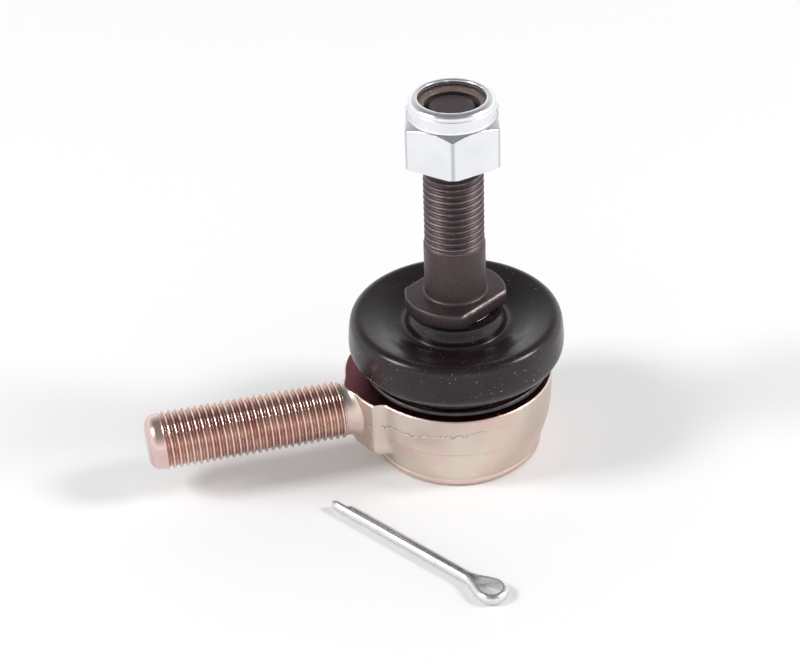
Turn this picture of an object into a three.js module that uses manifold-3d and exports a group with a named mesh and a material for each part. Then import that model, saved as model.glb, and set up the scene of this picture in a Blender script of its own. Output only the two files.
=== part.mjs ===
// Tie rod end: a ball stud in a forged cup with a threaded shank, a rubber dust boot,
// a lock nut with a nylon ring on the stud, and a loose cotter pin.
// Millimetres, +Z up. The origin is on the stud's axis, in the plane of the housing's bottom face.
// The shank points along -X.

import * as THREE from 'three';
import { mergeVertices } from 'three/addons/utils/BufferGeometryUtils.js';
import Module from 'manifold-3d';

const wasm = await Module();
wasm.setup();

// ---- Driving dimensions -------------------------------------------------------------------

const ROUND = 40; // facets of a full turn
const GAP = 0.3; // room between pieces that touch on the real object

// Ball joint
const BALL_RADIUS = 8.73;
const STUD_NECK_RADIUS = 4.0;
const SWING_CONE = THREE.MathUtils.degToRad(30); // half angle of the cone that the stud swings in
const SWING_MARGIN = THREE.MathUtils.degToRad(2.1);
const SEAT_WALL = 1.07;
const CAP_THICKNESS = 1.3;
const CAP_RIM_WIDTH = 2.8;
const CAP_INSET = 2.3; // the cap's edge inside the foot's edge
const CAP_DISH = 1.0; // the cap's middle bulges down from its rim, to the bottom face
const BALL_TO_CAP = 0.97;
const SPRING_THICKNESS = 0.5;
const SPRING_RISE = 0.5;

// Housing
const LIP_THICKNESS = 1.7; // lip over the upper seat
const BOSS_WALL = 2.6;
const BOSS_HEIGHT = 3.5; // above the machined top face
const SHOULDER_WIDTH = 2.45; // machined top face, from boss to rim
const RIM_CHAMFER = 0.25;
const GROOVE_DEPTH = 0.8;
const GROOVE_HEIGHT = 2.2;
const GROOVE_LIFT = 0.6; // above the machined top face
const CUP_SIDE_HEIGHT = 6.7; // upright part of the cup's side, under the rim
const FOOT_INSET = 2.15; // how much narrower the foot is than the cup
const FOOT_ROUND = 0.5;
const CRIMP_THICKNESS = 0.7; // rolled edge that holds the end cap
const CRIMP_REACH = 1.1;

// Threads, 3/8 inch with 24 threads an inch
const THREAD_RADIUS = 4.715;
const THREAD_CHAMFER = 1.2;

// Shank
const SHANK_DROP = 1.3; // its axis below the ball's centre
const SHANK_REACH = 50.8; // from the stud's axis to the shank's end face
const SHANK_NECK_RELIEF = 0.4; // plain neck under the thread's crest radius
const SHANK_NECK_END = 18.9; // where the plain neck starts to widen, from the stud's axis
const THREAD_START = 19.4; // where the shank's thread ends, from the stud's axis
const NOSE_FILLET = 1.5; // from the plain neck into the nose
const NOSE_REACH = 18.0; // end of the nose that joins shank and cup, from the stud's axis
const NOSE_RADIUS = 13.7; // of its rounded end, seen from above
const NOSE_HALF_WIDTH = 7.7; // to each of its two flat sides
const NOSE_SIDE_STEP = 1.0; // its middle is this far to +Y of the shank's axis
const NOSE_LIFT = 3.9; // its underside above the bottom face

// Ball stud
const FLANGE_RISE = 18.0; // flange top over the ball's centre
const FLANGE_WIDTH = 3.2; // flange radius over the plain part's
const FLANGE_THICKNESS = 2.5;
const FLANGE_FLAT_WIDTH = 1.5; // the same at its two flats
const FLANGE_TURN = THREE.MathUtils.degToRad(-58); // direction that one flat faces
const FLANGE_CHAMFER = 0.35;
const PLAIN_OVER_THREAD = 0.135; // plain part's radius over the thread's crest radius
const PLAIN_LENGTH = 8.9;
const STUD_LENGTH = 32.75; // above the flange
const STUD_SEAT_RADIUS = 4.5; // under the flange, in the boot's small end
const STUD_SEAT_LENGTH = 3.9;
const COTTER_HOLE_RADIUS = 1.2;
const COTTER_HOLE_DROP = 4.4; // from the stud's end

// Lock nut
const NUT_HEIGHT = 10.17;
const NUT_WALL = 2.43; // from the thread's crest radius to a flat
const NUT_HEX_HEIGHT = 7.15;
const NUT_FOOT_CHAMFER = 0.25;
const NUT_COLLAR_WALL = 0.515; // round the nylon ring
const NUT_RIM_HOLE_OVER_BORE = 0.175;
const NUT_RIM_THICKNESS = 0.75;
const NUT_TURN = THREE.MathUtils.degToRad(-105.3); // direction of one corner
const NUT_END_STANDS_OUT = 1.56; // the rim over the stud's end
const INSERT_HEIGHT = 2.4;
const INSERT_WALL = 0.8;
const INSERT_LIP_REACH = 0.515; // inside the thread's crest radius
const INSERT_LIP_THICKNESS = 0.7;

// Dust boot
const BOOT_WALL = 1.2;
const BOOT_BULGE = 4.2; // fullest radius over the boss's
const BOOT_WAIST_OVER_RIM = 4.4; // height of the fullest ring over the machined top face
const BOOT_SMALL_END_WALL = 0.7;
const BUSH_WALL = 0.5;
const BUSH_HEIGHT = 2.6;
const SLEEVE_WALL = 0.4;
const SLEEVE_HEIGHT = 2.3;
const RINGS_DROP = 0.1; // top of bush and sleeve under the boot's small end
const LOWER_RING_WIRE = 0.45;

// Cotter pin
const PIN_RADIUS = 1.0;
const PIN_LENGTH = 35.5;
const PIN_SHORT_LEG_LESS = 2.7;
const PIN_SLIT = 0.16;
const PIN_EYE_HALF_WIDTH = 1.65; // inside
const PIN_EYE_LENGTH = 6.6;
const PIN_PLACE = new THREE.Vector3(-4.69, -42.25, PIN_RADIUS - PIN_SLIT / 2);
const PIN_TURN = THREE.MathUtils.degToRad(122.75);

// ---- Sizes that follow --------------------------------------------------------------------

const ballHeight = CAP_THICKNESS + BALL_TO_CAP + BALL_RADIUS;
const seatSphere = BALL_RADIUS + GAP;
const seatRadius = seatSphere + SEAT_WALL;
const boreRadius = seatRadius + GAP;
const neckAngle = Math.asin(STUD_NECK_RADIUS / BALL_RADIUS);
const seatRimAngle = SWING_CONE + neckAngle + SWING_MARGIN;
const seatTop = ballHeight + seatSphere * Math.cos(seatRimAngle);
const lipHeight = seatTop + GAP;
const bossTop = lipHeight + LIP_THICKNESS;
const rimHeight = bossTop - BOSS_HEIGHT;
const bossRadius = boreRadius + BOSS_WALL;
const cupRadius = bossRadius + SHOULDER_WIDTH;
const footRadius = cupRadius - FOOT_INSET;
const capTop = CAP_DISH + CAP_THICKNESS;
const capRadius = footRadius - CAP_INSET;
const capShoulder = capTop + GAP;
const lowerSeatBottom = capTop + GAP + SPRING_THICKNESS + SPRING_RISE + GAP;
const grooveBottom = rimHeight + GROOVE_LIFT;
const grooveTop = grooveBottom + GROOVE_HEIGHT;
const grooveRadius = bossRadius - GROOVE_DEPTH;
const shankHeight = ballHeight - SHANK_DROP;
const flangeTop = ballHeight + FLANGE_RISE;
const flangeBottom = flangeTop - FLANGE_THICKNESS;
const studEnd = flangeTop + STUD_LENGTH;
const plainRadius = THREAD_RADIUS + PLAIN_OVER_THREAD;
const flangeRadius = plainRadius + FLANGE_WIDTH;
const flangeHalfFlats = plainRadius + FLANGE_FLAT_WIDTH;
const threadBore = THREAD_RADIUS + GAP;
const nutHalfFlats = THREAD_RADIUS + NUT_WALL;
const nutTop = studEnd + NUT_END_STANDS_OUT;
const nutBottom = nutTop - NUT_HEIGHT;
const insertTop = nutTop - NUT_RIM_THICKNESS - GAP;
const insertRadius = threadBore + INSERT_WALL;
const insertLipRadius = THREAD_RADIUS - INSERT_LIP_REACH;
const nutCollarRadius = insertRadius + GAP + NUT_COLLAR_WALL;
const bushInside = STUD_SEAT_RADIUS + GAP;
const sleeveInside = bushInside + BUSH_WALL + GAP;
const bootInside = sleeveInside + SLEEVE_WALL + GAP;
const collarTop = flangeBottom - GAP;
const ringsTop = collarTop - RINGS_DROP;

/** How far from the axis the fully swung neck reaches, at a height over the ball's centre. */
function neckReach(rise) {
  return rise * Math.tan(SWING_CONE) + STUD_NECK_RADIUS / Math.cos(SWING_CONE);
}

// ---- Shapes -------------------------------------------------------------------------------

/** Points [radius, height] on an arc about [0, centre], from one height angle to another. */
function ballArc(radius, centre, from, to, steps) {
  const points = [];
  for (let i = 0; i <= steps; i += 1) {
    const angle = from + ((to - from) * i) / steps;
    points.push([radius * Math.cos(angle), centre + radius * Math.sin(angle)]);
  }
  return points;
}

/** Turns a profile of [radius, height] points about +Z. It starts and ends on the axis. */
function turned(profile, facets = ROUND) {
  const points = profile.map(([radius, height]) => new THREE.Vector2(radius, height));
  return new THREE.LatheGeometry(points, facets).rotateX(Math.PI / 2);
}

/** Turns a closed profile, counter-clockwise in radius and height, into a ring about +Z. */
function ring(profile, facets = ROUND) {
  return turned([...profile, profile[0]], facets);
}

/** A prism with a regular outline about +Z: its half width across flats, and its two heights. */
function prism(sides, inRadius, bottom, top, turn) {
  const outRadius = inRadius / Math.cos(Math.PI / sides);
  const solid = new THREE.CylinderGeometry(outRadius, outRadius, top - bottom, sides);
  solid.rotateX(Math.PI / 2);
  solid.translate(0, 0, (top + bottom) / 2);
  // A corner of the outline starts on -Y.
  solid.rotateZ(turn + Math.PI / 2);
  return solid;
}

/** A box between two corners. */
function block(low, high) {
  const size = high.map((value, i) => value - low[i]);
  const middle = high.map((value, i) => (value + low[i]) / 2);
  return new THREE.BoxGeometry(...size).translate(...middle);
}

/** A closed geometry as a solid for joining and cutting. */
function solidOf(geometry) {
  const plain = new THREE.BufferGeometry();
  plain.setAttribute('position', geometry.getAttribute('position').clone());
  if (geometry.index) {
    plain.setIndex(geometry.index.clone());
  }
  const merged = mergeVertices(plain, 1e-4);
  const mesh = new wasm.Mesh({
    numProp: 3,
    vertProperties: new Float32Array(merged.getAttribute('position').array),
    triVerts: new Uint32Array(merged.index.array),
  });
  mesh.merge();
  return new wasm.Manifold(mesh);
}

/** A solid back as a geometry. */
function geometryOf(solid) {
  const mesh = solid.getMesh();
  const geometry = new THREE.BufferGeometry();
  geometry.setAttribute('position', new THREE.BufferAttribute(mesh.vertProperties, 3));
  geometry.setIndex(new THREE.BufferAttribute(mesh.triVerts, 1));
  geometry.computeVertexNormals();
  return geometry;
}

const model = new THREE.Group();

/** Adds one named piece with its own material. */
function addPiece(name, geometry, colour, roughness, metalness, parent = model) {
  const material = new THREE.MeshStandardMaterial({ color: colour, roughness, metalness });
  const mesh = new THREE.Mesh(geometry, material);
  mesh.name = name;
  parent.add(mesh);
  return mesh;
}

// ---- Housing ------------------------------------------------------------------------------

/** Cup: foot, tapered lower side, upright side, machined top face and grooved boss. */
function cupBody() {
  return turned([
    [0, 0],
    [footRadius - FOOT_ROUND, 0],
    [footRadius, FOOT_ROUND],
    [cupRadius, rimHeight - CUP_SIDE_HEIGHT],
    [cupRadius, rimHeight - RIM_CHAMFER],
    [cupRadius - RIM_CHAMFER, rimHeight],
    [bossRadius, rimHeight],
    [bossRadius, grooveBottom],
    [grooveRadius, grooveBottom],
    [grooveRadius, grooveTop],
    [bossRadius, grooveTop],
    [bossRadius, bossTop - RIM_CHAMFER],
    [bossRadius - RIM_CHAMFER, bossTop],
    [0, bossTop],
  ]);
}

/** What is bored out of the cup: crimped mouth, cap seat, seat bore and flared stud opening. */
function cupHollow() {
  const over = 1;
  const lipRise = lipHeight - ballHeight;
  const topRise = bossTop - ballHeight;
  return turned([
    [0, -over],
    [capRadius - CRIMP_REACH, -over],
    [capRadius - CRIMP_REACH, CRIMP_THICKNESS],
    [capRadius + GAP, CRIMP_THICKNESS],
    [capRadius + GAP, capShoulder],
    [boreRadius, capShoulder],
    [boreRadius, lipHeight],
    [neckReach(lipRise) + 2 * GAP, lipHeight],
    [neckReach(topRise) + 2 * GAP, bossTop],
    [neckReach(topRise) + 2 * GAP, bossTop + over],
    [0, bossTop + over],
  ]);
}

/** Shank and the start of its fillet, turned about the shank's axis, which is along +Z here. */
function shankBar() {
  const neckRadius = THREAD_RADIUS - SHANK_NECK_RELIEF;
  const bar = turned([
    [0, 0],
    [neckRadius + NOSE_FILLET, 0],
    [neckRadius + NOSE_FILLET, SHANK_NECK_END - NOSE_FILLET],
    [neckRadius + NOSE_FILLET * 0.3, SHANK_NECK_END - NOSE_FILLET * 0.7],
    [neckRadius, SHANK_NECK_END],
    [neckRadius, THREAD_START],
    [THREAD_RADIUS, THREAD_START + SHANK_NECK_RELIEF],
    [THREAD_RADIUS, SHANK_REACH - 1.6 * THREAD_CHAMFER],
    [THREAD_RADIUS - THREAD_CHAMFER, SHANK_REACH],
    [0, SHANK_REACH],
  ]);
  return bar.rotateY(-Math.PI / 2).translate(0, 0, shankHeight);
}

/** Nose between shank and cup: upright walls, two flat sides and a rounded end. */
function nose() {
  const centre = NOSE_RADIUS - NOSE_REACH;
  const halfTurn = Math.asin(NOSE_HALF_WIDTH / NOSE_RADIUS);
  const outline = new THREE.Shape();
  outline.moveTo(0, NOSE_HALF_WIDTH);
  outline.lineTo(0, -NOSE_HALF_WIDTH);
  outline.absarc(centre, 0, NOSE_RADIUS, Math.PI + halfTurn, Math.PI - halfTurn, true);
  outline.closePath();
  const depth = rimHeight - NOSE_LIFT;
  const solid = new THREE.ExtrudeGeometry(outline, { depth, bevelEnabled: false, curveSegments: 10 });
  return solid.translate(0, NOSE_SIDE_STEP, NOSE_LIFT);
}

function socketHousing() {
  const underTopFace = block(
    [-SHANK_NECK_END, -cupRadius, 0],
    [0, cupRadius, rimHeight],
  );
  const beyondNeck = block(
    [-SHANK_REACH - 1, -2 * THREAD_RADIUS, shankHeight - 2 * THREAD_RADIUS],
    [-SHANK_NECK_END, 2 * THREAD_RADIUS, shankHeight + 2 * THREAD_RADIUS],
  );
  const bar = solidOf(shankBar());
  const fillet = bar.intersect(solidOf(underTopFace));
  const shank = bar.intersect(solidOf(beyondNeck));
  const forging = solidOf(cupBody()).add(solidOf(nose())).add(fillet).add(shank);
  return geometryOf(forging.subtract(solidOf(cupHollow())));
}

addPiece('socket_housing', socketHousing(), '#d8c6ae', 0.42, 0.6);

// ---- Seats, spring and end cap ------------------------------------------------------------

/** Upper seat: a ring with a spherical inside, above the ball's middle. */
function upperSeat() {
  const low = ballHeight + GAP / 2;
  const inside = ballArc(seatSphere, ballHeight, Math.asin(GAP / 2 / seatSphere), Math.PI / 2 - seatRimAngle, 6);
  return ring([...inside.reverse(), [seatRadius, low], [seatRadius, seatTop]]);
}

/** Lower seat: the same, under the ball's middle, down to the spring. */
function lowerSeat() {
  const high = ballHeight - GAP / 2;
  const lowAngle = Math.asin((lowerSeatBottom - ballHeight) / seatSphere);
  const inside = ballArc(seatSphere, ballHeight, -Math.asin(GAP / 2 / seatSphere), lowAngle, 6);
  return ring([...inside, [seatRadius, lowerSeatBottom], [seatRadius, high]]);
}

/** Preload spring: a disc spring, coned, with its wide edge on the end cap. */
function preloadSpring() {
  const low = capTop + GAP;
  const inner = seatRadius - CAP_RIM_WIDTH;
  return ring([
    [inner, low + SPRING_RISE],
    [seatRadius - GAP, low],
    [seatRadius - GAP, low + SPRING_THICKNESS],
    [inner, low + SPRING_RISE + SPRING_THICKNESS],
  ]);
}

/** End cap: a round plate whose middle is dished downwards. */
function endCap() {
  const rimInside = capRadius - CAP_RIM_WIDTH;
  const dishRadius = rimInside - CAP_DISH;
  return turned([
    [0, 0],
    [dishRadius, 0],
    [rimInside, CAP_DISH],
    [capRadius, CAP_DISH],
    [capRadius, capTop],
    [rimInside, capTop],
    [dishRadius, capTop - CAP_DISH],
    [0, capTop - CAP_DISH],
  ]);
}

addPiece('upper_bearing_seat', upperSeat(), '#e6e0d0', 0.5, 0);
addPiece('lower_bearing_seat', lowerSeat(), '#e6e0d0', 0.5, 0);
addPiece('preload_spring', preloadSpring(), '#53504d', 0.4, 0.8);
addPiece('end_cap', endCap(), '#d3c3a4', 0.4, 0.6);

// ---- Dust boot and its rings --------------------------------------------------------------

const bootLipRadius = grooveRadius + GAP + BOOT_WALL / 2;
const bootLipBottom = grooveBottom + 0.4;
const bootWaistHeight = rimHeight + BOOT_WAIST_OVER_RIM + 2;
const bootWallRadius = bossRadius + BOOT_BULGE - BOOT_WALL / 2;
const bootCollarRadius = bootInside + BOOT_SMALL_END_WALL / 2;

/** Middle line of the boot's wall, from the lip in the groove over the bulge to the small end. */
function bootLine() {
  const ridgeHeight = flangeBottom - 2.45;
  const points = [
    [bootLipRadius, bootLipBottom],
    [bootLipRadius, grooveTop - 1.1],
    [bossRadius + 1.4, grooveTop - 0.2],
    [bootWallRadius - 0.9, bootWaistHeight - 2.6],
    [bootWallRadius, bootWaistHeight],
    [bootWallRadius - 0.3, bootWaistHeight + 2.6],
    [bootWallRadius - 1.1, ridgeHeight],
    [bootWallRadius - 3.7, ridgeHeight - 0.75],
    [bootCollarRadius + 2.7, ridgeHeight - 1.85],
    [bootCollarRadius + 0.7, collarTop - 2.4],
    [bootCollarRadius, collarTop],
  ];
  return new THREE.SplineCurve(points.map(([radius, height]) => new THREE.Vector2(radius, height)));
}

function dustBoot() {
  const line = bootLine();
  const steps = 18;
  const outside = [];
  const inside = [];
  for (let i = 0; i <= steps; i += 1) {
    const share = i / steps;
    const point = line.getPointAt(share);
    const along = line.getTangentAt(share);
    const half = THREE.MathUtils.lerp(BOOT_WALL, BOOT_SMALL_END_WALL, Math.max(0, 2 * share - 1)) / 2;
    outside.push([point.x + along.y * half, point.y - along.x * half]);
    inside.push([point.x - along.y * half, point.y + along.x * half]);
  }
  return ring([...outside, ...inside.reverse()]);
}

/** Lower ring: round wire that clamps the boot's wide end into the groove. */
function lowerRing() {
  const radius = grooveRadius + GAP + BOOT_WALL + GAP + LOWER_RING_WIRE;
  const centre = bootLipBottom + 0.05;
  const profile = [];
  for (let i = 0; i < 8; i += 1) {
    const angle = (i * Math.PI) / 4;
    profile.push([radius + LOWER_RING_WIRE * Math.cos(angle), centre + LOWER_RING_WIRE * Math.sin(angle)]);
  }
  return ring(profile);
}

/** A plain tube about +Z. */
function sleeve(inside, wall, bottom, top) {
  return ring([
    [inside, bottom],
    [inside + wall, bottom],
    [inside + wall, top],
    [inside, top],
  ]);
}

addPiece('dust_boot', dustBoot(), '#2a2527', 0.55, 0);
addPiece('boot_lower_ring', lowerRing(), '#3a3a3a', 0.4, 0.8);
addPiece(
  'boot_upper_sleeve',
  sleeve(sleeveInside, SLEEVE_WALL, ringsTop - SLEEVE_HEIGHT, ringsTop),
  '#77736e',
  0.4,
  0.8,
);
addPiece(
  'boot_collar_bush',
  sleeve(bushInside, BUSH_WALL, ringsTop - BUSH_HEIGHT, ringsTop),
  '#d9d4c8',
  0.5,
  0,
);

// ---- Ball stud ----------------------------------------------------------------------------

function ballStud() {
  const seatBottom = flangeBottom - STUD_SEAT_LENGTH;
  const neckTop = seatBottom - 1.8;
  const ball = ballArc(BALL_RADIUS, ballHeight, -Math.PI / 2, Math.PI / 2 - neckAngle, 13);
  ball[0][0] = 0;
  const body = turned([
    ...ball,
    [STUD_NECK_RADIUS, neckTop],
    [STUD_SEAT_RADIUS, seatBottom],
    [STUD_SEAT_RADIUS, flangeTop - FLANGE_THICKNESS / 2],
    [plainRadius, flangeTop - FLANGE_THICKNESS / 2],
    [plainRadius, flangeTop + PLAIN_LENGTH],
    [THREAD_RADIUS, flangeTop + PLAIN_LENGTH + plainRadius - THREAD_RADIUS],
    [THREAD_RADIUS, studEnd - THREAD_CHAMFER],
    [THREAD_RADIUS - THREAD_CHAMFER, studEnd],
    [0, studEnd],
  ]);
  const flange = turned([
    [0, flangeBottom],
    [flangeRadius - FLANGE_CHAMFER, flangeBottom],
    [flangeRadius, flangeBottom + FLANGE_CHAMFER],
    [flangeRadius, flangeTop - FLANGE_CHAMFER],
    [flangeRadius - FLANGE_CHAMFER, flangeTop],
    [0, flangeTop],
  ]);
  const flats = block(
    [-flangeHalfFlats, -2 * flangeRadius, flangeBottom - 1],
    [flangeHalfFlats, 2 * flangeRadius, flangeTop + 1],
  ).rotateZ(FLANGE_TURN);
  const hole = new THREE.CylinderGeometry(COTTER_HOLE_RADIUS, COTTER_HOLE_RADIUS, 4 * THREAD_RADIUS, 16);
  hole.translate(0, 0, studEnd - COTTER_HOLE_DROP);
  const whole = solidOf(body).add(solidOf(flange).intersect(solidOf(flats)));
  return geometryOf(whole.subtract(solidOf(hole)));
}

addPiece('ball_stud', ballStud(), '#4d4244', 0.5, 0.7);

// ---- Lock nut -----------------------------------------------------------------------------

/** Hexagon with chamfered corners, and the round collar that holds the nylon ring. */
function hexNut() {
  const hexTop = nutBottom + NUT_HEX_HEIGHT;
  const cornerRadius = nutHalfFlats / Math.cos(Math.PI / 6);
  const chamfer = (cornerRadius - nutHalfFlats) * Math.tan(Math.PI / 6);
  const hexagon = prism(6, nutHalfFlats, nutBottom, hexTop, NUT_TURN);
  const outline = turned([
    [0, nutBottom],
    [cornerRadius - NUT_FOOT_CHAMFER, nutBottom],
    [cornerRadius, nutBottom + NUT_FOOT_CHAMFER],
    [cornerRadius, hexTop - chamfer],
    [nutHalfFlats, hexTop],
    [0, hexTop],
  ]);
  const collar = turned([
    [0, hexTop - 1],
    [nutCollarRadius, hexTop - 1],
    [nutCollarRadius, nutTop - NUT_RIM_THICKNESS],
    [nutCollarRadius - NUT_RIM_THICKNESS, nutTop],
    [0, nutTop],
  ]);
  const pocketBottom = insertTop - INSERT_HEIGHT - GAP;
  const hollow = turned([
    [0, nutBottom - 1],
    [threadBore + 0.5, nutBottom - 1],
    [threadBore + 0.5, nutBottom],
    [threadBore, nutBottom + 0.5],
    [threadBore, pocketBottom],
    [insertRadius + GAP, pocketBottom],
    [insertRadius + GAP, insertTop + GAP],
    [threadBore + NUT_RIM_HOLE_OVER_BORE, insertTop + GAP],
    [threadBore + NUT_RIM_HOLE_OVER_BORE, nutTop + 1],
    [0, nutTop + 1],
  ]);
  const whole = solidOf(hexagon).intersect(solidOf(outline)).add(solidOf(collar));
  return geometryOf(whole.subtract(solidOf(hollow)));
}

/** Nylon ring: its top edge reaches in over the stud's end until the stud spreads it. */
function nylonInsert() {
  return ring([
    [threadBore, insertTop - INSERT_HEIGHT],
    [insertRadius, insertTop - INSERT_HEIGHT],
    [insertRadius, insertTop],
    [insertLipRadius, insertTop],
    [insertLipRadius, insertTop - INSERT_LIP_THICKNESS + GAP],
    [threadBore, insertTop - INSERT_LIP_THICKNESS],
  ]);
}

addPiece('hex_nut', hexNut(), '#e8e9ea', 0.25, 0.9);
addPiece('nylon_insert', nylonInsert(), '#8a7c70', 0.6, 0);

// ---- Cotter pin ---------------------------------------------------------------------------

/** Middle plane of the wire's flat side: short leg, round the eye, and back up the long leg. */
function pinPath() {
  const slit = PIN_SLIT / 2;
  const eyeFoot = PIN_RADIUS + PIN_EYE_LENGTH;
  const eyeCentre = PIN_RADIUS + PIN_EYE_HALF_WIDTH;
  const at = (along, side) => new THREE.Vector3(along, side, 0);
  const flank = (side) => [
    at(eyeFoot, side * slit),
    at(eyeFoot - 1.6, side * slit),
    at(eyeCentre + 1.5, side * PIN_EYE_HALF_WIDTH),
    at(eyeCentre, side * PIN_EYE_HALF_WIDTH),
  ];
  const bow = PIN_EYE_HALF_WIDTH * 1.3333;
  const path = new THREE.CurvePath();
  path.add(new THREE.LineCurve3(at(PIN_LENGTH - PIN_SHORT_LEG_LESS, -slit), at(eyeFoot, -slit)));
  path.add(new THREE.CubicBezierCurve3(...flank(-1)));
  path.add(
    new THREE.CubicBezierCurve3(
      at(eyeCentre, -PIN_EYE_HALF_WIDTH),
      at(eyeCentre - bow, -PIN_EYE_HALF_WIDTH),
      at(eyeCentre - bow, PIN_EYE_HALF_WIDTH),
      at(eyeCentre, PIN_EYE_HALF_WIDTH),
    ),
  );
  path.add(new THREE.CubicBezierCurve3(...flank(1).reverse()));
  path.add(new THREE.LineCurve3(at(eyeFoot, slit), at(PIN_LENGTH, slit)));
  return path;
}

/** The wire: a half-round section swept along the path, its flat side to the inside. */
function cotterPin() {
  const section = new THREE.Shape();
  section.absarc(0, 0, PIN_RADIUS - PIN_SLIT / 2, 0, Math.PI, false);
  section.closePath();
  return new THREE.ExtrudeGeometry(section, {
    steps: 44,
    curveSegments: 6,
    bevelEnabled: false,
    extrudePath: pinPath(),
  });
}

const pinPlace = new THREE.Group();
pinPlace.position.copy(PIN_PLACE);
pinPlace.rotation.z = PIN_TURN;
model.add(pinPlace);
addPiece('cotter_pin', cotterPin(), '#cfd2d6', 0.3, 0.9, pinPlace);

export default model;
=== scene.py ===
import math

import bpy
import numpy as np
from mathutils import Matrix, Vector


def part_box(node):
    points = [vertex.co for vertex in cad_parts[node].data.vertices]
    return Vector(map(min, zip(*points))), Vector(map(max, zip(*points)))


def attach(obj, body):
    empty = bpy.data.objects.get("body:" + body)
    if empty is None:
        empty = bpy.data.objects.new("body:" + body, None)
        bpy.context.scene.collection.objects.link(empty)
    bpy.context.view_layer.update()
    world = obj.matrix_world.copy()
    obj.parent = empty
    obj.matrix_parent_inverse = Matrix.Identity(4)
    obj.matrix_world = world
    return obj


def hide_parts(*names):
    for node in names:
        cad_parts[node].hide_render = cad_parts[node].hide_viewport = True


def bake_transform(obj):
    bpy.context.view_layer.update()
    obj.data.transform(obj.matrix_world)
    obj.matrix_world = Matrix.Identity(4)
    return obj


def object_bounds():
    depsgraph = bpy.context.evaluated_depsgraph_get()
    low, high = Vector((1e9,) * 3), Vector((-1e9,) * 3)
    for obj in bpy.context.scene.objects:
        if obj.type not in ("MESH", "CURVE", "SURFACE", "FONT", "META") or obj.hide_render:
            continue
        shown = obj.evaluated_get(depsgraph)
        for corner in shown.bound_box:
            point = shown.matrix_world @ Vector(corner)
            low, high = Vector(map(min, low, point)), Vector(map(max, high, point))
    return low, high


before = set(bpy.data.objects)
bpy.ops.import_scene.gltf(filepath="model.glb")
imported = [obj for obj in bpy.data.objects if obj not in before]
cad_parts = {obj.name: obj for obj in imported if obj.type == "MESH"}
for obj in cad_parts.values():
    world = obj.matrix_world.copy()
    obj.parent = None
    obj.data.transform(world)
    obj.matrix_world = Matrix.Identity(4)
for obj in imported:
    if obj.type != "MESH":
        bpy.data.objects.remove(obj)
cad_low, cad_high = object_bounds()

# ---- Studio -------------------------------------------------------------------------------
# A white sweep under the part, two soft boxes high on its left and right, and a sky that is
# greyer overhead, so that plated and turned faces have something darker to reflect.

MM = 0.001
AIM = Vector((0.0, 0.0, 20.463 * MM))
CAMERA_DISTANCE = 352.27 * MM
CAMERA_TURN = math.radians(-15.288)
CAMERA_RISE = math.radians(34.134)
CAMERA_ROLL = math.radians(-1.065)
LAMP_DISTANCE = 1.1
LAMP_SIZE = 0.3
LAMP_WATTS = 5.4
SKY_STRENGTH = 1.36
FLOOR_GAP = 0.03 * MM


def aimed(back, roll):
    """Turn of a camera or lamp that looks against back, rolled about that line."""
    flat = Vector((0.0, 0.0, 1.0)).cross(back).normalized()
    over = back.cross(flat)
    right = math.cos(roll) * flat + math.sin(roll) * over
    up = math.cos(roll) * over - math.sin(roll) * flat
    return Matrix((right, up, back)).transposed().to_4x4()


def direction(turn, rise):
    """Unit vector at a turn from -Y towards +X and a rise over the floor, in radians."""
    level = math.cos(rise)
    return Vector((math.sin(turn) * level, -math.cos(turn) * level, math.sin(rise)))


camera_data = bpy.data.cameras.new("camera")
camera_data.lens = 99.0
camera_data.sensor_width = 36.0
camera_data.shift_x = -0.0702
camera_data.clip_start = 0.02
camera = bpy.data.objects.new("camera", camera_data)
bpy.context.scene.collection.objects.link(camera)
camera_back = direction(CAMERA_TURN, CAMERA_RISE)
camera_place = Matrix.Translation(AIM + CAMERA_DISTANCE * camera_back)
camera.matrix_world = camera_place @ aimed(camera_back, CAMERA_ROLL)
bpy.context.scene.camera = camera
bpy.context.scene.view_settings.view_transform = "Standard"


def soft_box(name, turn, rise):
    """Square lamp that faces the part from a turn and rise in degrees."""
    lamp_data = bpy.data.lights.new(name, "AREA")
    lamp_data.shape = "RECTANGLE"
    lamp_data.size = LAMP_SIZE
    lamp_data.size_y = LAMP_SIZE
    lamp_data.energy = LAMP_WATTS
    lamp = bpy.data.objects.new(name, lamp_data)
    bpy.context.scene.collection.objects.link(lamp)
    back = direction(math.radians(turn), math.radians(rise))
    lamp.matrix_world = Matrix.Translation(AIM + LAMP_DISTANCE * back) @ aimed(back, 0.0)


soft_box("box_left", -92.0, 42.0)
soft_box("box_right", 70.0, 39.0)

sky = bpy.data.worlds.new("sky")
sky.use_nodes = True
bpy.context.scene.world = sky
sky_nodes = sky.node_tree.nodes
sky_place = sky_nodes.new("ShaderNodeTexCoord")
sky_parts = sky_nodes.new("ShaderNodeSeparateXYZ")
sky_ramp = sky_nodes.new("ShaderNodeValToRGB")
sky_ramp.color_ramp.elements[0].position = 0.1
sky_ramp.color_ramp.elements[0].color = (1.0, 1.0, 1.0, 1.0)
sky_ramp.color_ramp.elements[1].position = 0.8
sky_ramp.color_ramp.elements[1].color = (0.2, 0.2, 0.21, 1.0)
sky.node_tree.links.new(sky_place.outputs["Generated"], sky_parts.inputs[0])
sky.node_tree.links.new(sky_parts.outputs["Z"], sky_ramp.inputs[0])
sky.node_tree.links.new(sky_ramp.outputs[0], sky_nodes["Background"].inputs["Color"])
sky_nodes["Background"].inputs["Strength"].default_value = SKY_STRENGTH

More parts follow.
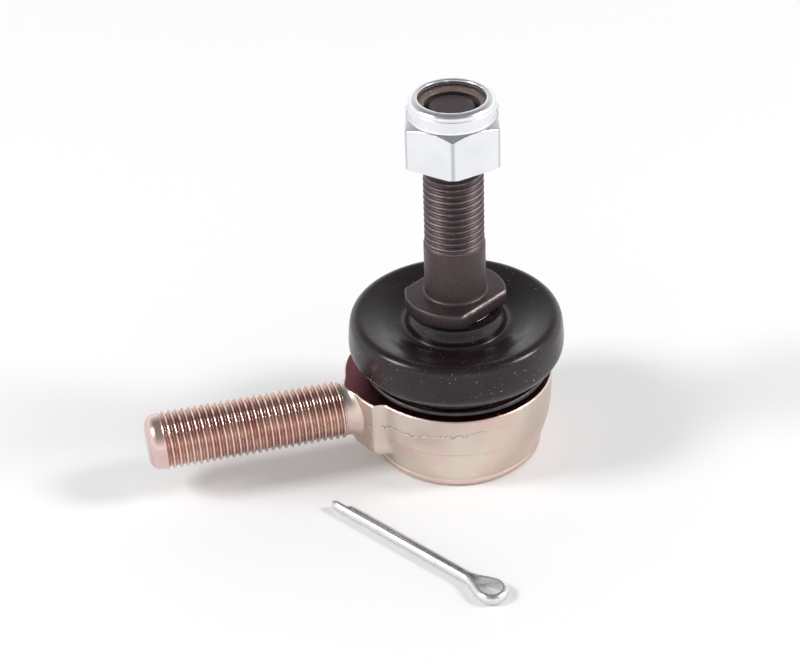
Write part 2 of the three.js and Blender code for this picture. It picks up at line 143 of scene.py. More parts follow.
bpy.ops.mesh.primitive_plane_add(size=4.0, location=(0.0, 0.0, cad_low.z - FLOOR_GAP))
floor = bpy.context.object
floor.name = "floor"
floor_paper = bpy.data.materials.new("floor_paper")
floor_paper.use_nodes = True
paper_shader = floor_paper.node_tree.nodes["Principled BSDF"]
paper_shader.inputs["Base Color"].default_value = (0.93, 0.93, 0.93, 1.0)
paper_shader.inputs["Roughness"].default_value = 0.6
paper_shader.inputs["Specular IOR Level"].default_value = 0.2
floor.data.materials.append(floor_paper)

# ---- Socket housing -----------------------------------------------------------------------
# One steel forging: a cup bored from below for the ball, a nose with two flat sides, and a
# shank with a rolled 3/8-24 thread. Its top face and boss are turned, and it is plated with
# zinc and a pale yellow chromate.

BORE_RADIUS = 10.4
LIP_OPENING = 7.95
BOSS_OPENING = 8.95
LIP_THICKNESS = 1.7
BOSS_HEIGHT = 3.5
BOSS_RADIUS = 13.0
GROOVE_DEPTH = 0.8
GROOVE_LIFT = 0.6
GROOVE_HEIGHT = 2.2
CUP_SIDE_HEIGHT = 6.7
FOOT_INSET = 2.15
CRIMP_REACH = 3.4
CRIMP_THICKNESS = 0.7
RIM_CHAMFER = 0.25
SIDE_ROUND = 0.7
ROLL_SIZE = 0.85
ROLL_HEIGHT = 1.4
ROLL_STEP = -0.1
NOSE_REACH = 18.0
NOSE_RADIUS = 13.7
NOSE_HALF_WIDTH = 7.7
NOSE_SIDE_STEP = 1.0
NOSE_LIFT = 3.9
NOSE_ROUND = 1.6
FLARE_RADIUS = 5.8
FLARE_DROP = 5.2
NECK_RADIUS = 4.3
NECK_END = 18.9
SHANK_HEIGHT = 9.7
THREAD_RADIUS = 4.715
THREAD_PITCH = 1.0583
THREAD_DEPTH = 0.6
THREAD_LEAD = 0.45
SHANK_TIP_LENGTH = 2.5
CAP_SEAT_HEIGHT = 2.6
CAP_SEAT_INSET = 0.7
SIDE_LINE_HEIGHT = 7.4
PIT_PLACE = (0.4, -15.44, 7.0)
CHIP_PLACE = (2.7, -14.7, 14.1)
TOOL_FEED = 0.16
CREAM = (0.68, 0.61, 0.52)
PINK = (0.68, 0.5, 0.46)


def soft_max(a, b, rounding):
    """The larger of two values, with the corner between them rounded off."""
    return (a + b + np.sqrt((a - b) ** 2 + rounding**2)) / 2


def soft_min(a, b, rounding):
    """The smaller of two values, with the corner between them rounded off."""
    return (a + b - np.sqrt((a - b) ** 2 + rounding**2)) / 2


def rounded(corners, steps=5, closed=True):
    """Outline through corners [radius, height, rounding]. Each corner is cut back along both
    its sides by the rounding and bridged by a parabola that touches them. The end corners of
    an open outline stay sharp."""
    points = np.array(corners, float)[:, :2]
    cut = np.array(corners, float)[:, 2:]
    if not closed:
        cut[[0, -1]] = 0.0
    before = np.roll(points, 1, axis=0) - points
    after = np.roll(points, -1, axis=0) - points
    length_before = np.linalg.norm(before, axis=1, keepdims=True)
    length_after = np.linalg.norm(after, axis=1, keepdims=True)
    start = points + before / length_before * np.minimum(cut, length_before * 0.49)
    end = points + after / length_after * np.minimum(cut, length_after * 0.49)
    t = np.linspace(0.0, 1.0, steps)[None, :, None]
    arcs = (1 - t) ** 2 * start[:, None] + 2 * t * (1 - t) * points[:, None] + t**2 * end[:, None]
    outline = arcs.reshape(-1, 2)
    step = np.linalg.norm(outline - np.roll(outline, 1, axis=0), axis=1)
    return outline[step > 1e-6]


def crowded(count, places, width, extra):
    """Angles round a full turn, closer together near the given directions: the turn is walked
    at a pace that slows down by a bell curve about each of them."""
    fine = np.linspace(0.0, 2 * np.pi, 7201)
    density = np.ones_like(fine)
    for place in places:
        off = (fine - place + np.pi) % (2 * np.pi) - np.pi
        density += extra * np.exp(-((off / width) ** 2))
    walked = np.concatenate([[0.0], np.cumsum((density[1:] + density[:-1]) / 2)])
    return np.interp(np.arange(count) / count * walked[-1], walked, fine)


def around(radius, height, angle):
    """Grid of points at a radius and height, each a number, column or grid, round +Z."""
    x, y, z = np.broadcast_arrays(radius * np.cos(angle), radius * np.sin(angle), height)
    return np.stack([x, y, z], axis=-1)


def skin(name, grid, rows_close=True, sharp=35.0):
    """Mesh object from a grid of points in millimetres. Columns close round. The rows close
    too, or each end of them is closed with a fan to its middle."""
    rows, columns = grid.shape[:2]
    row = np.arange(rows if rows_close else rows - 1)[:, None]
    column = np.arange(columns)[None, :]
    beside = (column + 1) % columns
    above = (row + 1) % rows
    here, next_row = row * columns, above * columns
    corners = [here + column, here + beside, next_row + beside, next_row + column]
    faces = np.stack(corners, axis=-1).reshape(-1, 4).tolist()
    points = grid.reshape(-1, 3)
    if not rows_close:
        last = (rows - 1) * columns
        points = np.concatenate([points, grid[:1].mean(axis=1), grid[-1:].mean(axis=1)])
        ring = np.arange(columns)
        after = (ring + 1) % columns
        first_fan = np.stack([after, ring, np.full(columns, rows * columns)], axis=-1)
        last_fan = np.stack([last + ring, last + after, np.full(columns, rows * columns + 1)], axis=-1)
        faces += first_fan.tolist() + last_fan.tolist()
    mesh = bpy.data.meshes.new(name)
    mesh.from_pydata((points * MM).tolist(), [], faces)
    mesh.update()
    piece = bpy.data.objects.new(name, mesh)
    bpy.context.scene.collection.objects.link(piece)
    smooth(piece, sharp)
    return piece


def smooth(piece, sharp):
    """Shades a piece smooth, apart from edges that turn more than an angle in degrees."""
    piece.data.shade_smooth()
    piece.data.set_sharp_from_angle(angle=math.radians(sharp))


def combined(piece, other, how, sharp=35.0):
    """Joins or cuts a piece with another closed one, which is used up."""
    change = piece.modifiers.new(how, "BOOLEAN")
    change.operation = how
    change.solver = "EXACT"
    change.object = other
    bpy.context.view_layer.update()
    shape = piece.evaluated_get(bpy.context.evaluated_depsgraph_get())
    mesh = bpy.data.meshes.new_from_object(shape)
    piece.modifiers.clear()
    old = piece.data
    piece.data = mesh
    mesh.name = piece.name
    bpy.data.meshes.remove(old)
    bpy.data.objects.remove(other)
    smooth(piece, sharp)


def thread_cut(turns):
    """Depth under the crest at a number of turns along the thread: a flat crest an eighth of
    the pitch wide, 60 degree flanks and a rounded root."""
    from_crest = np.abs((turns + 0.5) % 1.0 - 0.5) * THREAD_PITCH
    flank = (from_crest - THREAD_PITCH / 16) * math.sqrt(3.0)
    return np.clip(soft_min(soft_max(flank, 0.0, 0.12), THREAD_DEPTH, 0.22), 0.0, None)


def nose_reach(angle, height):
    """Reach of the nose from the stud's axis: to its side walls or its rounded end, less the
    rounding of its lower edge. Under the nose and behind the axis there is none."""
    side = np.where(np.sin(angle) < 0, NOSE_SIDE_STEP - NOSE_HALF_WIDTH, NOSE_SIDE_STEP + NOSE_HALF_WIDTH)
    to_side = np.abs(side) / np.maximum(np.abs(np.sin(angle)), 1e-3)
    middle_x = NOSE_RADIUS - NOSE_REACH
    along = np.cos(angle) * middle_x + np.sin(angle) * NOSE_SIDE_STEP
    to_end = along + np.sqrt(along**2 + NOSE_RADIUS**2 - middle_x**2 - NOSE_SIDE_STEP**2)
    reach = soft_min(to_side, to_end, 0.12)
    into = np.clip(1 - (height - NOSE_LIFT) / NOSE_ROUND, 0.0, 1.0)
    inset = NOSE_ROUND * (1 - np.sqrt(1 - into**2))
    here = (height >= NOSE_LIFT) & (np.cos(angle) < -0.5)
    return np.where(here, reach - inset, 0.0)


def forged_cup():
    """Cup and nose as one surface round the stud's axis. A circular outline runs from the
    bore over the foot, side, top face and boss, and back down the bore, and the side and
    top face are stretched out to the nose where it reaches further."""
    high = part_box("socket_housing")[1] / MM
    cup = high.x
    boss_top = high.z
    rim = boss_top - BOSS_HEIGHT
    groove = rim + GROOVE_LIFT
    foot = cup - FOOT_INSET
    cap_edge = foot - CRIMP_REACH
    cap_seat = cap_edge + CRIMP_REACH - CAP_SEAT_INSET
    side = rim - CUP_SIDE_HEIGHT
    wall_height = np.concatenate([
        np.linspace(ROLL_HEIGHT, NOSE_LIFT - 0.02, 12),
        NOSE_LIFT + NOSE_ROUND * (1 - np.cos(np.linspace(0, np.pi / 2, 10))),
        np.linspace(NOSE_LIFT + NOSE_ROUND, rim - RIM_CHAMFER, 34)[1:],
    ])
    taper = foot + FOOT_INSET * (wall_height - 0.5) / (side - 0.5)
    wall = np.stack([soft_min(taper, cup, SIDE_ROUND), wall_height], axis=1)
    foot_turn = np.radians(np.linspace(-88, 38, 11))
    foot_radius = wall[0, 0] - ROLL_SIZE - ROLL_STEP
    foot_out = ROLL_SIZE * (1 + np.cos(foot_turn)) - ROLL_SIZE + foot_radius
    roll = np.stack([foot_out, ROLL_SIZE * (1 + np.sin(foot_turn))], axis=1)
    face = np.stack([np.linspace(cup - RIM_CHAMFER, BOSS_RADIUS + 0.1, 12), np.full(12, rim)], axis=1)
    turned = rounded([
        (BOSS_RADIUS, rim, 0.15),
        (BOSS_RADIUS, groove, 0.15),
        (BOSS_RADIUS - GROOVE_DEPTH, groove, 0.2),
        (BOSS_RADIUS - GROOVE_DEPTH, groove + GROOVE_HEIGHT, 0.2),
        (BOSS_RADIUS, groove + GROOVE_HEIGHT, 0.1),
        (BOSS_RADIUS, boss_top, 0.25),
        (BOSS_OPENING, boss_top, 0.25),
        (LIP_OPENING, boss_top - LIP_THICKNESS, 0.1),
        (BORE_RADIUS, boss_top - LIP_THICKNESS, 0.1),
        (BORE_RADIUS, CAP_SEAT_HEIGHT, 0.1),
        (cap_seat, CAP_SEAT_HEIGHT, 0.1),
        (cap_seat, CRIMP_THICKNESS, 0.1),
        (cap_edge, CRIMP_THICKNESS, 0.2),
        (cap_edge, 0.0, 0.3),
    ])
    outline = np.concatenate([roll, wall, face, turned])
    radius = outline[:, :1]
    height = outline[:, 1:]
    half = math.asin(NOSE_HALF_WIDTH / NOSE_RADIUS)
    edge_x = NOSE_REACH - NOSE_RADIUS + NOSE_RADIUS * math.cos(half)
    front_edge = math.atan2(NOSE_SIDE_STEP - NOSE_HALF_WIDTH, -edge_x) % (2 * math.pi)
    rear_edge = math.atan2(NOSE_SIDE_STEP + NOSE_HALF_WIDTH, -edge_x)
    angle = crowded(300, [front_edge, rear_edge, math.pi], 0.06, 9.0)[None, :]
    stretch = np.clip((radius - BOSS_RADIUS) / (cup - RIM_CHAMFER - BOSS_RADIUS), 0.0, 1.0)
    stretch = np.where(height < rim - RIM_CHAMFER, 1.0, stretch)
    on_side = (np.arange(len(outline)) < len(roll) + len(wall) + len(face))[:, None]
    plain = np.where(height > rim - RIM_CHAMFER, cup, radius)
    reach = nose_reach(angle, height)
    out = np.where(reach > 0, soft_max(plain, reach, 0.9), plain)
    grown = radius + (out - plain) * stretch * on_side
    return skin("socket_forging", around(grown, height, angle))


def turned_shank():
    """Shank, plain neck and flare round the shank's axis, laid along -X. The thread is cut to
    its depth under a line that follows the neck, the crest and the rounded tip. The neck opens
    by a quarter ellipse into a flare that ends on the nose's round face, is cut off level below
    and is kept under the turned top face."""
    low, high = (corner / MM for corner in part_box("socket_housing"))
    reach = -low.x
    rim = high.z - BOSS_HEIGHT
    start = NECK_END + THREAD_LEAD
    tip = reach - SHANK_TIP_LENGTH
    angle = np.linspace(0, 2 * np.pi, 96, endpoint=False)[None, :]
    fillet_turn = np.linspace(0, np.pi / 2, 12)[:, None]
    flare = np.minimum(FLARE_RADIUS, FLARE_DROP / np.maximum(-np.cos(angle), 0.01))
    nose_place = flare * np.sin(angle) - NOSE_SIDE_STEP
    nose_end = NOSE_REACH - NOSE_RADIUS + np.sqrt(NOSE_RADIUS**2 - nose_place**2) - 0.1
    fillet_place = NECK_END - (NECK_END - nose_end) * np.cos(fillet_turn)
    fillet_radius = NECK_RADIUS + (flare - NECK_RADIUS) * (1 - np.sin(fillet_turn))
    cut = np.arange(start - 0.4, tip + 0.8, THREAD_PITCH / 14)
    end_turn = np.linspace(0, np.pi / 2 * 0.86, 9)
    limit_place = np.array([start - 0.6, start - 0.1, start + 0.32, tip - 0.1, tip + 0.25, tip + 0.8])
    limit_radius = np.array([NECK_RADIUS, NECK_RADIUS, THREAD_RADIUS, THREAD_RADIUS, 4.5, 4.42])
    depth_share = np.clip((cut - start + 0.3) / 0.6, 0, 1) * np.clip((tip + 0.4 - cut) / 0.5, 0, 1)
    end = np.stack([tip + 0.9 + 1.6 * np.sin(end_turn), 2.9 + 1.5 * np.cos(end_turn)], axis=1)
    end[-1] = (reach, end[-1, 1])
    columns = np.ones_like(angle)
    outer_limit = np.concatenate([np.interp(cut, limit_place, limit_radius), end[:, 1]])[:, None]
    outer_place = np.concatenate([cut, end[:, 0]])[:, None]
    place = np.concatenate([nose_end - 4.0, fillet_place, outer_place * columns])
    limit = np.concatenate([flare * 0.8, fillet_radius, outer_limit * columns])
    share = np.concatenate([np.zeros(len(fillet_turn) + 1), depth_share, np.zeros(len(end))])[:, None]
    threaded = THREAD_RADIUS - thread_cut(place / THREAD_PITCH - angle / (2 * np.pi)) * share
    radius = np.where(share > 0, np.minimum(threaded, limit), limit)
    about_z = around(radius, place, angle)
    height = SHANK_HEIGHT + about_z[..., 0]
    height = np.where(about_z[..., 2] < NECK_END, np.minimum(height, rim - 0.01), height)
    return skin("shank", np.stack([-about_z[..., 2], about_z[..., 1], height], axis=-1), rows_close=False)


class Finish:
    """A procedural material under construction: its shader and the nodes that feed it."""

    def __init__(self, name, metallic, roughness, colour=(0.8, 0.8, 0.8)):
        self.material = bpy.data.materials.new(name)
        self.material.use_nodes = True
        self.tree = self.material.node_tree
        self.shader = self.tree.nodes["Principled BSDF"]
        self.place = self.node("ShaderNodeTexCoord").outputs["Object"]
        self.set(Metallic=metallic, Roughness=roughness)
        self.shader.inputs["Base Color"].default_value = (*colour, 1.0)

    def node(self, kind, **inputs):
        """New node. Inputs are given by name, with _ for a space, as values or other outputs."""
        made = self.tree.nodes.new(kind)
        for name, value in inputs.items():
            self.feed(made.inputs[name.replace("_", " ")], value)
        return made

    def feed(self, socket, value):
        """Sets a socket, or links it where the value is another node's output."""
        if isinstance(value, bpy.types.NodeSocket):
            self.tree.links.new(value, socket)
        else:
            socket.default_value = value

    def set(self, **inputs):
        """Sets or links sockets of the shader."""
        for name, value in inputs.items():
            self.feed(self.shader.inputs[name.replace("_", " ")], value)

    def noise(self, size, detail=3.0, rough=0.5, stretch=(1.0, 1.0, 1.0)):
        """Noise with lumps about a size across, in millimetres."""
        place = self.place
        if stretch != (1.0, 1.0, 1.0):
            place = self.node("ShaderNodeMapping", Vector=place, Scale=stretch).outputs[0]
        scale = 1000.0 / size
        return self.node(
            "ShaderNodeTexNoise", Vector=place, Scale=scale, Detail=detail, Roughness=rough
        ).outputs[0]

    def specks(self, spacing, size):
        """1 in small round specks a spacing apart at most, in millimetres, and 0 between them."""
        cells = self.node("ShaderNodeTexVoronoi", Vector=self.place, Scale=1000.0 / spacing)
        return self.between(cells.outputs["Distance"], size * 1.6, size, 0.0, 1.0)

    def between(self, value, low, high, to_low, to_high):
        """Maps one range of a value to another, and holds it at the ends."""
        made = self.node("ShaderNodeMapRange")
        self.feed(made.inputs["Value"], value)
        for name, number in zip(("From Min", "From Max", "To Min", "To Max"), (low, high, to_low, to_high)):
            made.inputs[name].default_value = number
        return made.outputs[0]

    def value(self, how, first, second=0.0):
        """One or two values worked on by a math operation."""
        made = self.tree.nodes.new("ShaderNodeMath")
        made.operation = how
        self.feed(made.inputs[0], first)
        self.feed(made.inputs[1], second)
        return made.outputs[0]

    def times(self, product, *factors):
        """Values multiplied together."""
        for factor in factors:
            product = self.value("MULTIPLY", product, factor)
        return product

    def near(self, value, middle, reach_below, reach_above):
        """1 at a middle value, falling straight to 0 over a reach on either side, in millimetres."""
        rise = self.between(value, (middle - reach_below) * MM, middle * MM, 0.0, 1.0)
        fall = self.between(value, (middle + reach_above) * MM, middle * MM, 0.0, 1.0)
        return self.times(fall, rise)

    def mix(self, share, first, second):
        """One colour over another by a share."""
        made = self.tree.nodes.new("ShaderNodeMix")
        made.data_type = "RGBA"
        self.feed(made.inputs["Factor"], share)
        for socket, colour in ((made.inputs[6], first), (made.inputs[7], second)):
            self.feed(socket, colour if isinstance(colour, bpy.types.NodeSocket) else (*colour, 1.0))
        return made.outputs[2]

    def axis(self, name):
        """One coordinate, in metres."""
        return self.node("ShaderNodeSeparateXYZ", Vector=self.place).outputs[name]

    def distance(self, point, keep=(1.0, 1.0, 1.0)):
        """Distance in metres from a point in millimetres, with each axis stretched by keep. A 0
        in keep makes it the distance from a line along that axis."""
        back = tuple(-place * share * MM for place, share in zip(point, keep))
        moved = self.node("ShaderNodeMapping", Vector=self.place, Location=back, Scale=keep).outputs[0]
        length = self.tree.nodes.new("ShaderNodeVectorMath")
        length.operation = "LENGTH"
        self.tree.links.new(moved, length.inputs[0])
        return length.outputs["Value"]

    def bump(self, height, depth):
        """Raises the surface by a height of 0 to 1, depth millimetres at most."""
        below = self.shader.inputs["Normal"].links
        made = self.node("ShaderNodeBump", Height=height, Distance=depth * MM, Strength=1.0)
        if below:
            self.tree.links.new(below[0].from_socket, made.inputs["Normal"])
        self.set(Normal=made.outputs[0])


def forging_seam(finish, rim):
    """1 on the forging's parting line in front and 0 off it. The line climbs from the nose to the
    cup's middle, wanders by a noise, is broken by another, and fades out past the middle."""
    climb = finish.between(finish.axis("X"), -16.0 * MM, 2.0 * MM, -4.2 * MM, -2.1 * MM)
    wander = finish.between(finish.noise(1.1, 3.0), 0.3, 0.7, -0.45 * MM, 0.45 * MM)
    height = finish.value("ADD", finish.value("ADD", climb, wander), rim)
    off_line = finish.value("ABSOLUTE", finish.value("SUBTRACT", finish.axis("Z"), height))
    on_line = finish.between(off_line, 0.2 * MM, 0.05 * MM, 0.0, 1.0)
    in_front = finish.between(finish.axis("Y"), -5.5 * MM, -6.5 * MM, 0.0, 1.0)
    fading = finish.between(finish.axis("X"), -8.0 * MM, 5.0 * MM, 1.0, 0.0)
    broken = finish.between(finish.noise(1.6, 3.0), 0.4, 0.52, 0.1, 1.0)
    return finish.times(on_line, in_front, fading, broken)


def rolled_thread(finish, plated):
    """Colours along the shank: patchy copper grooves darkened as painted shade, pale crests as a painted
    highlight, and a tip plated like the cup.
    """
    from_axis = finish.distance((0.0, 0.0, SHANK_HEIGHT), (0.0, 1.0, 1.0))
    painted_crest_highlight = finish.between(from_axis, (THREAD_RADIUS - 0.16) * MM, THREAD_RADIUS * MM, 0.0, 1.0)
    patchy = finish.between(finish.noise(3.0), 0.35, 0.65, 0.0, 1.0)
    groove = finish.mix(patchy, (0.5, 0.27, 0.24), (0.6, 0.42, 0.34))
    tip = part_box("socket_housing")[0].x + SHANK_TIP_LENGTH * MM
    on_tip = finish.between(finish.axis("X"), tip + 0.3 * MM, tip, 0.0, 1.0)
    # The pale crests are a painted highlight and the darker copper grooves are painted shade.
    return finish.mix(on_tip, finish.mix(painted_crest_highlight, groove, (0.82, 0.74, 0.7)), plated)


def pale_chromate():
    """Plated forging: greyish cream with pink and green clouds, pink at the foot as a painted
    reflection, and dark plum on the turned top face and boss as a painted reflection of the boot;
    these faces have fine tool rings. The rolled thread is copper brown, with painted shade in its
    grooves and painted highlights on its pale crests. The forging's parting line is a broken seam
    along its side, and its skin is scaly."""
    finish = Finish("pale_chromate", 1.0, 0.3)
    clouds = finish.between(finish.noise(9.0), 0.42, 0.66, 0.0, 1.0)
    plated = finish.mix(clouds, CREAM, PINK)
    tint = finish.between(finish.noise(14.0, 2.0), 0.55, 0.75, 0.0, 0.7)
    # Painted reflection: the foot, where the surface curves under, is tinted pink.
    painted_foot_reflection = finish.between(finish.axis("Z"), 2.2 * MM, 0.9 * MM, 0.0, 0.75)
    body = finish.mix(painted_foot_reflection, finish.mix(tint, plated, (0.63, 0.61, 0.44)), PINK)

    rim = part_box("socket_housing")[1].z - BOSS_HEIGHT * MM
    seam = forging_seam(finish, rim)
    body = finish.mix(finish.times(seam, 0.6), body, (0.2, 0.1, 0.07))
    faint = finish.between(finish.noise(3.0), 0.4, 0.6, 0.1, 0.4)
    side_line = finish.times(finish.near(finish.axis("Z"), SIDE_LINE_HEIGHT, 0.2, 0.09), faint)
    body = finish.mix(side_line, body, (0.3, 0.18, 0.14))
    pit = finish.between(finish.distance(PIT_PLACE, (1.0, 1.0, 1.5)), 0.5 * MM, 0.15 * MM, 0.0, 1.0)
    body = finish.mix(pit, body, (0.1, 0.05, 0.04))

    # Painted reflection: the turned top face and boss are coloured dark plum, as if they mirror the boot.
    turned = finish.between(finish.axis("Z"), rim - 0.08 * MM, rim - 0.03 * MM, 0.0, 1.0)
    body = finish.mix(turned, body, (0.2, 0.065, 0.08))
    chip = finish.between(finish.distance(CHIP_PLACE), 0.4 * MM, 0.25 * MM, 0.0, 1.0)
    body = finish.mix(chip, body, (0.8, 0.5, 0.45))
    on_shank = finish.between(finish.axis("X"), -(NECK_END + 0.5) * MM, -(NECK_END + 0.9) * MM, 0.0, 1.0)
    finish.set(Base_Color=finish.mix(on_shank, body, rolled_thread(finish, plated)))

    patches = finish.between(finish.noise(2.4, 4.0), 0.3, 0.7, 0.26, 0.4)
    finish.set(Roughness=finish.times(patches, finish.between(on_shank, 0.0, 1.0, 1.0, 0.75)))
    forged = finish.between(finish.value("MAXIMUM", turned, on_shank), 0.0, 1.0, 1.0, 0.0)
    finish.bump(finish.times(finish.noise(0.9, 5.0, 0.6), forged), 0.05)
    finish.bump(finish.value("MAXIMUM", seam, pit), -0.12)
    from_stud = finish.distance((0.0, 0.0, 0.0), (1.0, 1.0, 0.0))
    rings = finish.value("SINE", finish.times(from_stud, 2 * math.pi / (TOOL_FEED * MM)))
    finish.bump(finish.times(finish.between(rings, -1.0, 1.0, 0.0, 1.0), turned), 0.008)
    return finish.material


housing = forged_cup()
combined(housing, turned_shank(), "UNION")
housing.data.materials.append(pale_chromate())
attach(housing, "housing")
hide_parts("socket_housing")

# ---- Bearing seats ------------------------------------------------------------------------
# Two moulded acetal rings that hold the ball above and below its middle. Each is turned to
# the ball's sphere and has grease channels in it. The lower one is pressed up by the spring.

BALL_RADIUS = 8.73
SEAT_PLAY = 0.3
GREASE_CHANNELS = 6
GREASE_DEPTH = 0.3
ball_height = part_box("ball_stud")[0].z / MM + BALL_RADIUS


def bearing_seat(name):
    """Ring between the bore and the ball: an upright outside with rounded edges, and a
    spherical inside that is sunk by a bell curve at each grease channel."""
    low, high = (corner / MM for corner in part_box(name))
    angle = np.linspace(0, 2 * np.pi, 144, endpoint=False)[None, :]
    outside = rounded([(high.x, low.z, 0.3), (high.x, high.z, 0.3)], closed=False)
    inside_height = np.linspace(high.z, low.z, 22)
    inside = np.sqrt((BALL_RADIUS + SEAT_PLAY) ** 2 - (inside_height - ball_height) ** 2)
    channel = GREASE_DEPTH * np.exp(-((np.sin(angle * GREASE_CHANNELS / 2) / 0.22) ** 2))
    radius = np.concatenate([outside[:, :1] * np.ones_like(angle), inside[:, None] + channel])
    height = np.concatenate([outside[:, 1], inside_height])[:, None]
    return skin(name + "_moulding", around(radius, height, angle))


def moulded_acetal():
    """Off-white acetal, faintly mottled, with a satin moulded skin."""
    finish = Finish("moulded_acetal", 0.0, 0.4)
    mottle = finish.between(finish.noise(3.0), 0.35, 0.7, 0.0, 1.0)
    finish.set(Base_Color=finish.mix(mottle, (0.82, 0.78, 0.68), (0.74, 0.69, 0.57)))
    finish.set(Roughness=finish.between(finish.noise(0.8), 0.3, 0.7, 0.36, 0.5))
    finish.bump(finish.noise(0.3, 4.0), 0.01)
    return finish.material


acetal = moulded_acetal()
for seat_name in ("upper_bearing_seat", "lower_bearing_seat"):
    seat = bearing_seat(seat_name)
    seat.data.materials.append(acetal)
    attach(seat, "housing")
    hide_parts(seat_name)

# ---- Preload spring -----------------------------------------------------------------------
# A coned disc spring of tempered strip steel. It lies on the end cap's rim and presses the
# lower seat and the ball upwards.

SPRING_WIDTH = 2.5
SPRING_THICKNESS = 0.5


def steel_blue(name, colour, roughness):
    """Oiled, heat-blackened steel with cloudy temper colours."""
    finish = Finish(name, 1.0, roughness)
    clouds = finish.between(finish.noise(2.5), 0.35, 0.7, 0.0, 1.0)
    darker = tuple(part * 0.62 for part in colour)
    finish.set(Base_Color=finish.mix(clouds, colour, darker))
    finish.set(Roughness=finish.between(finish.noise(0.7, 4.0), 0.3, 0.7, roughness * 0.8, roughness * 1.3))
    finish.bump(finish.noise(0.25, 4.0), 0.008)
    return finish.material


def turned_ring(name, corners, columns=128):
    """Closed ring turned about +Z from corners [radius, height, rounding]."""
    outline = rounded(corners)
    angle = np.linspace(0, 2 * np.pi, columns, endpoint=False)[None, :]
    return skin(name, around(outline[:, :1], outline[:, 1:], angle))


spring_low, spring_high = (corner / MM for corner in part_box("preload_spring"))
spring = turned_ring("coned_spring", [
    (spring_high.x, spring_low.z, 0.12),
    (spring_high.x, spring_low.z + SPRING_THICKNESS, 0.12),
    (spring_high.x - SPRING_WIDTH, spring_high.z, 0.12),
    (spring_high.x - SPRING_WIDTH, spring_high.z - SPRING_THICKNESS, 0.12),
])
spring.data.materials.append(steel_blue("tempered_strip", (0.16, 0.16, 0.18), 0.35))
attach(spring, "housing")
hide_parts("preload_spring")

# ---- End cap ------------------------------------------------------------------------------
# A pressed steel plate, plated like the housing. Its middle is dished downwards, and the
# housing's foot is rolled over its edge all round.

CAP_THICKNESS = 1.3
CAP_RIM_WIDTH = 2.8
CAP_DIMPLE_RADIUS = 2.2


def pressed_cap():
    """Round plate as one grid from the middle of its underside over its edge to the middle of
    its top. A shallow dimple from the press tool lies in the middle."""
    low, high = (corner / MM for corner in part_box("end_cap"))
    rim_inside = high.x - CAP_RIM_WIDTH
    dish = high.z - CAP_THICKNESS
    under = low.z
    outline = rounded([
        (0.02, under + 0.3, 0.0),
        (CAP_DIMPLE_RADIUS - 0.5, under + 0.3, 0.3),
        (CAP_DIMPLE_RADIUS, under, 0.3),
        (rim_inside - dish, under, 0.8),
        (rim_inside, dish, 0.6),
        (high.x, dish, 0.2),
        (high.x, high.z, 0.35),
        (rim_inside, high.z, 0.8),
        (rim_inside - dish, under + CAP_THICKNESS, 0.6),
        (0.02, under + CAP_THICKNESS, 0.0),
    ], closed=False)
    angle = np.linspace(0, 2 * np.pi, 128, endpoint=False)[None, :]
    return skin("pressed_cap", around(outline[:, :1], outline[:, 1:], angle), rows_close=False)


def plated_plate():
    """Zinc with a yellow chromate on drawn sheet: cloudy, with fine scratches."""
    finish = Finish("plated_plate", 1.0, 0.34)
    clouds = finish.between(finish.noise(5.0), 0.38, 0.62, 0.0, 1.0)
    finish.set(Base_Color=finish.mix(clouds, (0.8, 0.72, 0.55), (0.74, 0.63, 0.55)))
    scratch = finish.noise(0.35, 2.0, 0.5, (0.12, 1.0, 1.0))
    finish.set(Roughness=finish.between(scratch, 0.35, 0.65, 0.24, 0.42))
    finish.bump(finish.noise(0.6, 4.0), 0.012)
    return finish.material


end_cap = pressed_cap()
end_cap.data.materials.append(plated_plate())
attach(end_cap, "housing")
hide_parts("end_cap")

# ---- Dust boot ----------------------------------------------------------------------------
# A moulded rubber bellows with one fold. Its thick lip sits in the housing's groove, its wall
# bulges out to the mould's parting line and back to a ridge, and its crown dips into a dish
# round the stud's neck and rises to a thin collar.

BOOT_WALL = 1.2
BOOT_DISH_WALL = 0.85
BOOT_COLLAR_WALL = 0.7
BOOT_ROWS = 321
PARTING_RIDGE = 0.03
boot_low, boot_high = (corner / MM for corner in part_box("dust_boot"))
waist_radius = boot_high.x - BOOT_WALL / 2
waist_height = boot_low.z + 5.4
ridge_height = boot_high.z - 2.15
collar_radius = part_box("boot_upper_sleeve")[1].x / MM + SEAT_PLAY + BOOT_COLLAR_WALL / 2


def curved(points, count):
    """Smooth line through points. Each stretch is a cubic that leaves and meets its end points
    along the line between their neighbours."""
    points = np.array(points, float)
    lean = np.gradient(points, axis=0)
    place = np.linspace(0, len(points) - 1, count)
    first = np.minimum(place.astype(int), len(points) - 2)
    t = (place - first)[:, None]
    start, end = points[first], points[first + 1]
    start_lean, end_lean = lean[first], lean[first + 1]
    bend = 3 * (end - start) - 2 * start_lean - end_lean
    twist = 2 * (start - end) + start_lean + end_lean
    return start + t * start_lean + t**2 * bend + t**3 * twist


def rubber_shell(name, line, wall, parting=None):
    """Shell of a wall's thickness about a middle line that runs upwards on its outer side. Its
    two faces are the line pushed out and in along its normal, and its outer face swells by a
    bell curve at the height of the parting line."""
    along = np.gradient(line, axis=0)
    along /= np.linalg.norm(along, axis=1, keepdims=True)
    across = np.stack([along[:, 1], -along[:, 0]], axis=1) * wall[:, None] / 2
    outside = line + across
    if parting:
        outside[:, 0] += PARTING_RIDGE * np.exp(-(((outside[:, 1] - parting) / 0.1) ** 2))
    inside = (line - across)[::-1]
    outline = np.concatenate([outside, inside])
    angle = np.linspace(0, 2 * np.pi, 160, endpoint=False)[None, :]
    return skin(name, around(outline[:, :1], outline[:, 1:], angle), sharp=50.0)


